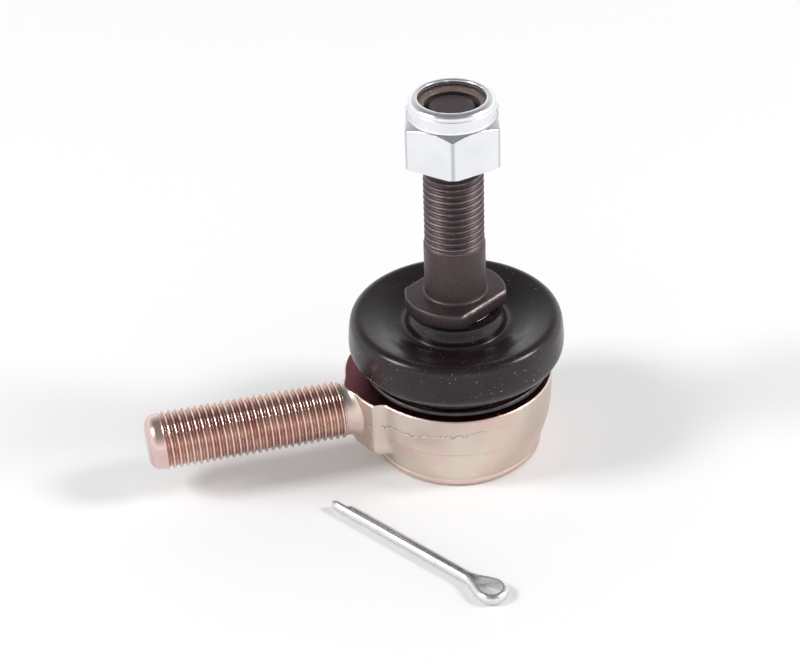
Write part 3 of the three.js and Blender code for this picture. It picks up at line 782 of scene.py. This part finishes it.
def moulded_rubber():
    """Brown-black rubber with a waxy sheen, fine mould pores, rubbed patches and settled dust."""
    finish = Finish("moulded_rubber", 0.0, 0.42)
    bloom = finish.between(finish.noise(5.0, 4.0), 0.45, 0.75, 0.0, 1.0)
    body = finish.mix(bloom, (0.0105, 0.006, 0.0072), (0.018, 0.0115, 0.013))
    dusty = finish.between(finish.noise(3.0), 0.4, 0.54, 0.0, 1.0)
    from_height, to_height = (ridge_height - 1.0) * MM, (waist_height - 1.0) * MM
    low_down = finish.between(finish.axis("Z"), from_height, to_height, 0.35, 1.0)
    fine = finish.value("MAXIMUM", finish.specks(0.55, 0.085), finish.specks(1.2, 0.07))
    dust = finish.times(fine, dusty, low_down)
    finish.set(Base_Color=finish.mix(dust, body, (0.42, 0.38, 0.36)))
    finish.shader.inputs["Specular IOR Level"].default_value = 0.4
    finish.set(Roughness=finish.between(finish.noise(1.6, 5.0, 0.6), 0.3, 0.7, 0.2, 0.3))
    finish.bump(finish.noise(0.35, 4.0, 0.6), 0.006)
    finish.bump(finish.noise(3.0, 2.0), 0.012)
    return finish.material


boot_line = curved([
    (13.1, boot_low.z),
    (13.0, boot_low.z + 0.8),
    (14.1, boot_low.z + 1.7),
    (waist_radius - 0.85, boot_low.z + 2.9),
    (waist_radius - 0.1, boot_low.z + 4.0),
    (waist_radius, waist_height),
    (waist_radius - 0.12, waist_height + 1.8),
    (waist_radius - 0.38, ridge_height - 0.55),
    (waist_radius - 0.95, ridge_height),
    (waist_radius - 1.8, ridge_height - 0.05),
    (waist_radius - 3.6, ridge_height - 0.6),
    (waist_radius - 5.6, ridge_height - 1.4),
    (collar_radius + 2.5, ridge_height - 1.85),
    (collar_radius + 1.2, ridge_height - 1.35),
    (collar_radius + 0.85, ridge_height - 0.2),
    (collar_radius + 0.1, boot_high.z - 1.1),
    (collar_radius, boot_high.z),
], BOOT_ROWS)
boot_share = np.linspace(0, 1, BOOT_ROWS)
boot_wall = np.interp(boot_share, [0, 0.5, 0.8, 1], [BOOT_WALL, BOOT_WALL, BOOT_DISH_WALL, BOOT_COLLAR_WALL])
rubber = moulded_rubber()

# Three shells meet edge to edge at the parting line and at the ridge, so that each of them
# crosses no more than one swing of the ball joint.
waist_row, ridge_row = 100, 160
lower_rows = slice(0, waist_row + 1)
upper_rows = slice(waist_row, ridge_row + 1)
lower_wall = rubber_shell("boot_lower_wall", boot_line[lower_rows], boot_wall[lower_rows], waist_height)
upper_wall = rubber_shell("boot_upper_wall", boot_line[upper_rows], boot_wall[upper_rows], waist_height)
crown = rubber_shell("boot_crown", boot_line[ridge_row:], boot_wall[ridge_row:])
for shell in (lower_wall, upper_wall, crown):
    shell.data.materials.append(rubber)
    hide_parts("dust_boot")
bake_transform(lower_wall)
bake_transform(upper_wall)
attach(crown, "boot_collar")

# ---- Boot rings ---------------------------------------------------------------------------
# A blackened round wire ring clamps the boot's lip. At the top a thin steel sleeve is moulded
# into the boot's collar, and a slippery bush between it and the stud lets the stud turn.

ring_low, ring_high = (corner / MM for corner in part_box("boot_lower_ring"))
wire = (ring_high.z - ring_low.z) / 2
wire_turn = np.linspace(0, 2 * np.pi, 16, endpoint=False)[:, None]
wire_angle = np.linspace(0, 2 * np.pi, 160, endpoint=False)[None, :]
wire_radius = ring_high.x - wire + wire * np.cos(wire_turn)
lower_ring = skin("lip_wire", around(wire_radius, ring_low.z + wire + wire * np.sin(wire_turn), wire_angle))
lower_ring.data.materials.append(steel_blue("blackened_wire", (0.09, 0.085, 0.085), 0.4))
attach(lower_ring, "housing")
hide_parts("boot_lower_ring")


def collar_tube(name, node, wall):
    """Thin tube with rounded edges in a node's height and outer radius."""
    low, high = (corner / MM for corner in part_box(node))
    inside = high.x - wall
    corners = [(high.x, low.z, 0.1), (high.x, high.z, 0.12), (inside, high.z, 0.12), (inside, low.z, 0.1)]
    return turned_ring(name, corners)


upper_sleeve = collar_tube("collar_sleeve", "boot_upper_sleeve", 0.4)
upper_sleeve.data.materials.append(steel_blue("drawn_sleeve", (0.36, 0.34, 0.33), 0.32))
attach(upper_sleeve, "boot_collar")
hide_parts("boot_upper_sleeve")

collar_bush = collar_tube("collar_liner", "boot_collar_bush", 0.5)
collar_bush.data.materials.append(acetal)
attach(collar_bush, "boot_collar")
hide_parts("boot_collar_bush")

# ---- Ball stud ----------------------------------------------------------------------------
# One piece of alloy steel: a burnished ball, a neck, a flange with two wrench flats, a plain
# part and a rolled 3/8-24 thread with a cross hole for the cotter pin. All of it is finished
# with an oiled brown phosphate.

STUD_NECK_RADIUS = 4.0
STUD_SEAT_RADIUS = 4.5
STUD_SEAT_LENGTH = 3.9
FLANGE_THICKNESS = 2.5
FLANGE_RADIUS = 8.05
FLANGE_HALF_FLATS = 6.35
FLANGE_TURN = math.radians(-58)
PLAIN_RADIUS = 4.85
PLAIN_LENGTH = 8.9
STUD_LENGTH = 32.75
STUD_FILLET = 0.45
COTTER_HOLE_RADIUS = 1.2
COTTER_HOLE_DROP = 4.4
stud_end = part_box("ball_stud")[1].z / MM
flange_top = stud_end - STUD_LENGTH
flange_bottom = flange_top - FLANGE_THICKNESS
plain_top = flange_top + PLAIN_LENGTH


def flange_outline(angle):
    """Round flange cut back to its two flats, with rounded corners between."""
    to_flat = FLANGE_HALF_FLATS / np.maximum(np.abs(np.cos(angle - FLANGE_TURN)), 1e-3)
    return soft_min(FLANGE_RADIUS, to_flat, 0.12)


def turned_stud():
    """The stud as one grid from the ball's lowest point to the end face. The flange's rows are
    its outline less an inset, and the thread's rows are cut down from the crest."""
    corner = math.acos(FLANGE_HALF_FLATS / FLANGE_RADIUS)
    corners = [FLANGE_TURN + side * corner + half for side in (-1, 1) for half in (0.0, math.pi)]
    angle = crowded(140, corners, 0.06, 7.0)[None, :]
    neck_turn = math.pi - math.asin(STUD_NECK_RADIUS / BALL_RADIUS)
    fall = np.linspace(0.02, neck_turn, 46)
    ball = np.stack([BALL_RADIUS * np.sin(fall), ball_height - BALL_RADIUS * np.cos(fall)], axis=1)
    seat_bottom = flange_bottom - STUD_SEAT_LENGTH
    neck = rounded([
        (STUD_NECK_RADIUS, ball[-1, 1] + 0.2, 0.15),
        (STUD_NECK_RADIUS, seat_bottom - 1.8, 0.6),
        (STUD_SEAT_RADIUS, seat_bottom, 0.3),
        (STUD_SEAT_RADIUS, flange_bottom, 0.2),
    ], closed=False)
    # Inset and height over the flange's underside, from the seat out and over the edge.
    edge = rounded([
        (0.9, 0.0, 0.0),
        (0.0, 0.0, 0.35),
        (0.0, FLANGE_THICKNESS, 0.45),
        (1.3, FLANGE_THICKNESS, 0.0),
    ], closed=False)
    fillet_turn = np.linspace(0, np.pi / 2, 7)
    root = PLAIN_RADIUS + STUD_FILLET
    fillet = np.stack([
        root - STUD_FILLET * np.sin(fillet_turn),
        flange_top + 0.02 + STUD_FILLET * (1 - np.cos(fillet_turn)),
    ], axis=1)
    plain = rounded([
        (PLAIN_RADIUS, flange_top + 0.9, 0.1),
        (PLAIN_RADIUS, plain_top - 0.1, 0.12),
    ], closed=False)
    cut = np.arange(plain_top, stud_end - 1.0, THREAD_PITCH / 13)
    end_turn = np.linspace(0, np.pi / 2, 8)
    end = np.stack([
        THREAD_RADIUS - 0.75 - 0.45 * (1 - np.cos(end_turn)) - 0.35 * np.sin(end_turn),
        stud_end - 0.75 + 0.75 * np.sin(end_turn),
    ], axis=1)
    limit_height = [plain_top, plain_top + 0.4, stud_end - 1.6, stud_end - 0.95]
    limit_radius = [PLAIN_RADIUS - 0.12, THREAD_RADIUS, THREAD_RADIUS, THREAD_RADIUS - 0.68]
    limit = np.interp(cut, limit_height, limit_radius)
    share = np.clip((cut - plain_top - 0.1) / 0.7, 0, 1)[:, None]
    threaded = THREAD_RADIUS - thread_cut(cut[:, None] / THREAD_PITCH - angle / (2 * np.pi)) * share
    columns = np.ones_like(angle)
    radius = np.concatenate([
        ball[:, :1] * columns,
        neck[:, :1] * columns,
        flange_outline(angle) - edge[:, :1],
        fillet[:, :1] * columns,
        plain[:, :1] * columns,
        np.minimum(threaded, limit[:, None]),
        end[:, :1] * columns,
    ])
    height = np.concatenate([
        ball[:, 1], neck[:, 1], flange_bottom + edge[:, 1], fillet[:, 1], plain[:, 1], cut, end[:, 1],
    ])[:, None]
    return skin("turned_stud", around(radius, height, angle), rows_close=False)


def cross_drill():
    """Cylinder along Y where the stud's cotter hole is."""
    angle = np.linspace(0, 2 * np.pi, 32, endpoint=False)[None, :]
    along = np.linspace(-7, 7, 3)[:, None]
    drill = around(COTTER_HOLE_RADIUS, along, angle)
    height = stud_end - COTTER_HOLE_DROP + drill[..., 1]
    return skin("drill", np.stack([-drill[..., 0], drill[..., 2], height], axis=-1), rows_close=False)


def worn_crests(finish):
    """Patchy share of bare metal on the crests of the stud's thread, above its plain part."""
    from_axis = finish.distance((0.0, 0.0, 0.0), (1.0, 1.0, 0.0))
    crest_low, crest_high = (THREAD_RADIUS - 0.14) * MM, (THREAD_RADIUS - 0.01) * MM
    crest = finish.between(from_axis, crest_low, crest_high, 0.0, 0.75)
    on_thread = finish.between(finish.axis("Z"), plain_top * MM, (plain_top + 0.5) * MM, 0.0, 1.0)
    rub = finish.between(finish.noise(2.2, 4.0, 0.65), 0.42, 0.6, 0.35, 1.0)
    return finish.times(crest, on_thread, rub)


def worn_flat(finish):
    """Ragged share of bare metal along the upper edge of one of the flange's flats."""
    turned = finish.node("ShaderNodeMapping", Vector=finish.place, Rotation=(0.0, 0.0, -FLANGE_TURN))
    to_flat = finish.node("ShaderNodeSeparateXYZ", Vector=turned.outputs[0]).outputs["X"]
    flat = FLANGE_HALF_FLATS
    height = finish.axis("Z")
    at_flat = finish.between(to_flat, (flat - 0.5) * MM, (flat - 0.2) * MM, 0.0, 1.0)
    over_middle = finish.between(height, (flange_top - 0.75) * MM, (flange_top - 0.3) * MM, 0.0, 1.0)
    under_plain = finish.between(height, (flange_top + 0.3) * MM, (flange_top + 0.4) * MM, 1.0, 0.0)
    ragged = finish.between(finish.noise(0.9, 4.0, 0.7), 0.35, 0.55, 0.0, 1.0)
    return finish.times(at_flat, over_middle, under_plain, ragged)


def brown_phosphate():
    """Oiled manganese phosphate: dull plum brown with a crystalline grain, rubbed bright along
    the thread's crests and the edge of a flat, and burnished steel on the ball."""
    finish = Finish("brown_phosphate", 0.85, 0.42)
    grain = finish.between(finish.noise(0.3, 5.0, 0.6), 0.35, 0.7, 0.0, 1.0)
    coat = finish.mix(grain, (0.075, 0.055, 0.058), (0.115, 0.088, 0.09))
    bright = finish.value("MAXIMUM", worn_flat(finish), worn_crests(finish))
    coated = finish.mix(bright, coat, (0.36, 0.29, 0.29))
    on_ball = finish.between(finish.axis("Z"), (ball_height + 7.6) * MM, (ball_height + 7.4) * MM, 0.0, 1.0)
    finish.set(Base_Color=finish.mix(on_ball, coated, (0.6, 0.59, 0.57)))
    dull = finish.between(grain, 0.0, 1.0, 0.38, 0.52)
    finish.set(Roughness=finish.times(dull, finish.between(on_ball, 0.0, 1.0, 1.0, 0.4)))
    finish.bump(finish.noise(0.22, 4.0, 0.6), 0.014)
    return finish.material


stud = turned_stud()
combined(stud, cross_drill(), "DIFFERENCE")
stud.data.materials.append(brown_phosphate())
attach(stud, "stud")
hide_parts("ball_stud")

# ---- Lock nut -----------------------------------------------------------------------------
# A cold-formed hexagon, 9/16 inch across flats, with a round collar that is rolled in over a
# nylon ring. It is bright zinc plated.

NUT_HALF_FLATS = 7.145
NUT_HEX_HEIGHT = 7.15
NUT_COLLAR_RADIUS = 6.63
NUT_FOOT_RADIUS = 7.9
NUT_ROLL_WIDTH = 1.0
NUT_ROLL_HEIGHT = 0.85
NUT_CORNER_RADIUS = 8.17
NUT_TURN = math.radians(-105.3)
NUT_RIM_THICKNESS = 0.75
NUT_RIM_HOLE = 5.19
NUT_POCKET_RADIUS = 6.115
NUT_POCKET_DEPTH = 3.0
NUT_MOUTH_RADIUS = 5.5
NUT_FACE_RADIUS = 6.3
NUT_THREAD_PLAY = 0.07
NUT_THREAD_SHARE = 0.85
nut_low, nut_high = (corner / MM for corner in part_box("hex_nut"))


def hexagon(angle):
    """Distance to a hexagon's side: the half width over the cosine of the turn from the
    nearest flat's middle, cut off by a circle that rounds the corners."""
    from_flat = (angle - NUT_TURN) % (math.pi / 3) - math.pi / 6
    return soft_min(NUT_HALF_FLATS / np.cos(from_flat), NUT_CORNER_RADIUS, 0.05)


def formed_nut():
    """The nut as one closed grid. Its columns are crowded at the hexagon's corners, and the
    hexagon is limited by a cone at both ends. The bore's rows are cut to match the stud."""
    share = np.arange(30) / 30
    sixth = share - 0.78 * np.sin(2 * np.pi * share) / (2 * np.pi)
    angle = NUT_TURN + math.pi / 3 * (np.arange(6)[:, None] + sixth[None, :]).reshape(1, -1)
    hex_top = nut_low.z + NUT_HEX_HEIGHT
    cone_start = NUT_HALF_FLATS - 0.12
    outer_height = np.concatenate([
        np.linspace(nut_low.z, nut_low.z + 1.0, 16),
        np.linspace(nut_low.z + 1.5, hex_top - 1.5, 5),
        np.linspace(hex_top - 1.0, hex_top, 16),
    ])[:, None]
    top_cone = cone_start + (hex_top - outer_height) * math.sqrt(3.0)
    foot_cone = NUT_FOOT_RADIUS + (outer_height - nut_low.z) * math.sqrt(3.0)
    flank = soft_min(hexagon(angle) - 0.02, np.minimum(top_cone, foot_cone), 0.06)
    collar = rounded([
        (NUT_COLLAR_RADIUS + 0.12, hex_top + 0.01, 0.1),
        (NUT_COLLAR_RADIUS, hex_top + 0.3, 0.2),
        (NUT_COLLAR_RADIUS, nut_high.z - 1.15, 0.12),
        (NUT_COLLAR_RADIUS - 0.16, nut_high.z - 1.0, 0.1),
        (NUT_COLLAR_RADIUS, nut_high.z - NUT_ROLL_HEIGHT, 0.1),
    ], closed=False)
    roll_turn = np.linspace(0, np.pi / 2, 12)[1:]
    roll = np.stack([
        NUT_COLLAR_RADIUS - NUT_ROLL_WIDTH * (1 - np.cos(roll_turn)),
        nut_high.z - NUT_ROLL_HEIGHT * (1 - np.sin(roll_turn)),
    ], axis=1)
    pocket_top = nut_high.z - NUT_RIM_THICKNESS
    pocket_floor = pocket_top - NUT_POCKET_DEPTH
    inside = rounded([
        (NUT_COLLAR_RADIUS - NUT_ROLL_WIDTH - 0.05, nut_high.z, 0.0),
        (NUT_RIM_HOLE, nut_high.z - 0.08, 0.2),
        (NUT_RIM_HOLE + 0.02, pocket_top, 0.1),
        (NUT_POCKET_RADIUS, pocket_top, 0.1),
        (NUT_POCKET_RADIUS, pocket_floor, 0.15),
        (THREAD_RADIUS + NUT_THREAD_PLAY + 0.05, pocket_floor, 0.1),
    ], closed=False)
    collar = np.concatenate([collar, roll, inside])
    # Nicks in the rolled lip: each a bell curve at a turn in degrees, with its depth.
    nicks = np.array([[-128.0, 0.16], [-92.0, 0.1], [-40.0, 0.13], [15.0, 0.12], [83.0, 0.15], [150.0, 0.12]])
    turn = (angle - np.radians(nicks[:, :1]) + np.pi) % (2 * np.pi) - np.pi
    nick = (nicks[:, 1:] * np.exp(-((turn / 0.045) ** 2))).sum(axis=0)[None, :]
    below_lip = (collar[:, 1] - nut_high.z + 0.15) / 0.25
    outside_lip = (collar[:, 0] - NUT_RIM_HOLE) / 0.4
    on_lip = np.exp(-(below_lip**2) - outside_lip**2)
    cut = np.arange(collar[-1, 1] - 0.12, nut_low.z + 0.1, -THREAD_PITCH / 12)
    mouth_height = [nut_low.z, nut_low.z + 0.75, collar[-1, 1] - 0.6, collar[-1, 1]]
    mouth = np.interp(cut, mouth_height, [NUT_MOUTH_RADIUS, 0.0, 0.0, 4.8])
    groove = thread_cut(cut[:, None] / THREAD_PITCH - angle / (2 * np.pi)) * NUT_THREAD_SHARE
    radius = np.concatenate([
        flank,
        collar[:, :1] + nick * on_lip[:, None],
        np.maximum(THREAD_RADIUS + NUT_THREAD_PLAY - groove, mouth[:, None]),
        np.array([[NUT_MOUTH_RADIUS], [NUT_FACE_RADIUS]]) * np.ones_like(angle),
    ])
    height = np.concatenate([outer_height[:, 0], collar[:, 1], cut, [nut_low.z, nut_low.z]])[:, None]
    return skin("formed_nut", around(radius, height, angle), sharp=28.0)


def bright_zinc():
    """Bright zinc: silver with a faint blue cast, with painted dark reflections at the hexagon's
    corners, soft tumbling marks and small dull spots."""
    finish = Finish("bright_zinc", 1.0, 0.2)
    clouds = finish.between(finish.noise(4.0), 0.35, 0.65, 0.0, 1.0)
    body = finish.mix(clouds, (0.84, 0.85, 0.87), (0.79, 0.8, 0.82))
    spots = finish.between(finish.noise(0.8, 4.0, 0.65), 0.62, 0.72, 0.0, 0.6)
    body = finish.mix(finish.times(spots, 0.35), body, (0.56, 0.55, 0.54))
    from_axis = finish.distance((0.0, 0.0, 0.0), (1.0, 1.0, 0.0))
    # Painted reflection: the hexagon's rounded corners are darkened.
    corner_low, corner_high = (NUT_CORNER_RADIUS - 0.16) * MM, (NUT_CORNER_RADIUS - 0.04) * MM
    corner = finish.between(from_axis, corner_low, corner_high, 0.0, 0.6)
    finish.set(Base_Color=finish.mix(corner, body, (0.36, 0.36, 0.39)))
    finish.set(Roughness=finish.between(finish.noise(0.9, 4.0, 0.6), 0.3, 0.7, 0.17, 0.26))
    finish.bump(finish.noise(1.4, 3.0, 0.5), 0.008)
    return finish.material


zinc = bright_zinc()
nut = formed_nut()
nut.data.materials.append(zinc)
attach(nut, "nut")
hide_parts("hex_nut")

# ---- Nylon ring ---------------------------------------------------------------------------
# A plain ring of tan nylon in the nut's collar. The stud's thread presses its way in and leaves
# the ring's top edge standing over the thread's end.

INSERT_LIP_RADIUS = 4.2
INSERT_BORE = 4.76
insert_low, insert_high = (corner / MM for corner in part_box("nylon_insert"))
insert = turned_ring("locking_ring", [
    (insert_high.x, insert_low.z, 0.15),
    (insert_high.x, insert_high.z, 0.2),
    (INSERT_LIP_RADIUS + 0.5, insert_high.z - 0.02, 0.3),
    (INSERT_LIP_RADIUS, insert_high.z - 0.35, 0.2),
    (INSERT_LIP_RADIUS + 0.05, insert_high.z - 0.65, 0.15),
    (INSERT_BORE, insert_high.z - 0.85, 0.2),
    (INSERT_BORE, insert_low.z, 0.15),
])


def tan_nylon():
    """Tan nylon, slightly translucent, cloudy and faintly rough all over."""
    finish = Finish("tan_nylon", 0.0, 0.4)
    clouds = finish.between(finish.noise(1.6), 0.35, 0.65, 0.0, 1.0)
    finish.set(Base_Color=finish.mix(clouds, (0.17, 0.125, 0.11), (0.12, 0.088, 0.08)))
    finish.shader.inputs["Subsurface Weight"].default_value = 0.15
    finish.shader.inputs["Subsurface Scale"].default_value = 0.4 * MM
    finish.set(Roughness=finish.between(finish.noise(0.5, 4.0), 0.3, 0.7, 0.3, 0.5))
    finish.bump(finish.noise(0.5, 4.0), 0.02)
    return finish.material


insert.data.materials.append(tan_nylon())
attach(insert, "nut_ring")
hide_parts("nylon_insert")

# ---- Cotter pin ---------------------------------------------------------------------------
# Half-round zinc-plated wire folded on itself into two legs, one longer, with a round eye. It
# comes loose with the part and lies in front of it.

PIN_RADIUS = 1.0
PIN_SLIT = 0.16
PIN_LENGTH = 35.5
PIN_SHORT_LEG_LESS = 2.7
PIN_EYE_HALF_WIDTH = 1.65
PIN_EYE_LENGTH = 6.6
PIN_PLACE = (-4.69, -42.25)
PIN_TURN = math.radians(122.75)


def bezier(points, count):
    """Cubic with two end points and two points that it leans towards, without its last point."""
    a, b, c, d = np.array(points, float)
    t = np.linspace(0, 1, count, endpoint=False)[:, None]
    return (1 - t) ** 3 * a + 3 * t * (1 - t) ** 2 * b + 3 * t**2 * (1 - t) * c + t**3 * d


def pin_line():
    """Middle of the wire's flat side as [along, side]: up the short leg from its tip, round the
    eye and down the long leg. Both flanks of the eye are S-curves and its end is round."""
    slit = PIN_SLIT / 2
    foot = PIN_RADIUS + PIN_EYE_LENGTH
    middle = PIN_RADIUS + PIN_EYE_HALF_WIDTH
    bow = PIN_EYE_HALF_WIDTH * 4 / 3
    flank = np.array([
        (foot, slit),
        (foot - 1.6, slit),
        (middle + 1.5, PIN_EYE_HALF_WIDTH),
        (middle, PIN_EYE_HALF_WIDTH),
    ])
    mirrored = flank * (1, -1)
    turn = [mirrored[3], mirrored[3] - (bow, 0), flank[3] - (bow, 0), flank[3]]
    short_tip = np.array((PIN_LENGTH - PIN_SHORT_LEG_LESS, -slit))
    long_tip = np.array((PIN_LENGTH, slit))
    leg = np.linspace(0, 1, 40, endpoint=False)[:, None]
    up = short_tip + (mirrored[0] - short_tip) * leg
    down = flank[0] + (long_tip - flank[0]) * np.linspace(0, 1, 41)[:, None]
    return np.concatenate([up, bezier(mirrored, 24), bezier(turn, 36), bezier(flank[::-1], 24), down])


def folded_wire():
    """Half-round section swept along the wire's line. The section's size fades at both tips, as
    cropped wire ends do."""
    line = pin_line()
    along = np.gradient(line, axis=0)
    along /= np.linalg.norm(along, axis=1, keepdims=True)
    outward = np.stack([-along[:, 1], along[:, 0]], axis=1)[:, None, :]
    size = PIN_RADIUS - PIN_SLIT / 2
    turn = np.radians(np.linspace(-84, 84, 19))
    flat = np.linspace(0.93, -0.93, 7)
    out = np.concatenate([np.cos(turn), np.zeros(7)]) * size
    up = np.concatenate([np.sin(turn), flat]) * size
    length = np.concatenate([[0], np.cumsum(np.linalg.norm(np.diff(line, axis=0), axis=1))])
    from_tip = np.minimum(length, length[-1] - length)[:, None]
    taper = 1 - 0.35 * np.clip(1 - from_tip / 0.9, 0, 1) ** 2
    flat_place = line[:, None, :] + outward * (out * taper)[..., None]
    height = size + np.broadcast_to(up * taper, flat_place.shape[:2])
    cos, sin = math.cos(PIN_TURN), math.sin(PIN_TURN)
    x = PIN_PLACE[0] + flat_place[..., 0] * cos - flat_place[..., 1] * sin
    y = PIN_PLACE[1] + flat_place[..., 0] * sin + flat_place[..., 1] * cos
    return skin("folded_wire", np.stack([x, y, height], axis=-1), rows_close=False, sharp=50.0)


def drawn_zinc():
    """Zinc on drawn wire: silver with fine lines along the legs and a few handling marks."""
    finish = Finish("drawn_zinc", 1.0, 0.28)
    legs = finish.node("ShaderNodeMapping", Vector=finish.place, Rotation=(0.0, 0.0, -PIN_TURN)).outputs[0]
    stretched = finish.node("ShaderNodeMapping", Vector=legs, Scale=(0.06, 1.0, 1.0)).outputs[0]
    lines = finish.node("ShaderNodeTexNoise", Vector=stretched, Scale=4000.0, Detail=3.0).outputs[0]
    marks = finish.between(finish.noise(1.3, 4.0, 0.65), 0.58, 0.7, 0.0, 0.7)
    body = finish.mix(finish.between(lines, 0.35, 0.65, 0.0, 1.0), (0.8, 0.8, 0.81), (0.68, 0.68, 0.7))
    finish.set(Base_Color=finish.mix(marks, body, (0.5, 0.48, 0.46)))
    finish.set(Roughness=finish.between(lines, 0.3, 0.7, 0.2, 0.36))
    finish.bump(lines, 0.006)
    return finish.material


cotter_pin = folded_wire()
cotter_pin.data.materials.append(drawn_zinc())
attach(cotter_pin, "pin")
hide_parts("cotter_pin")
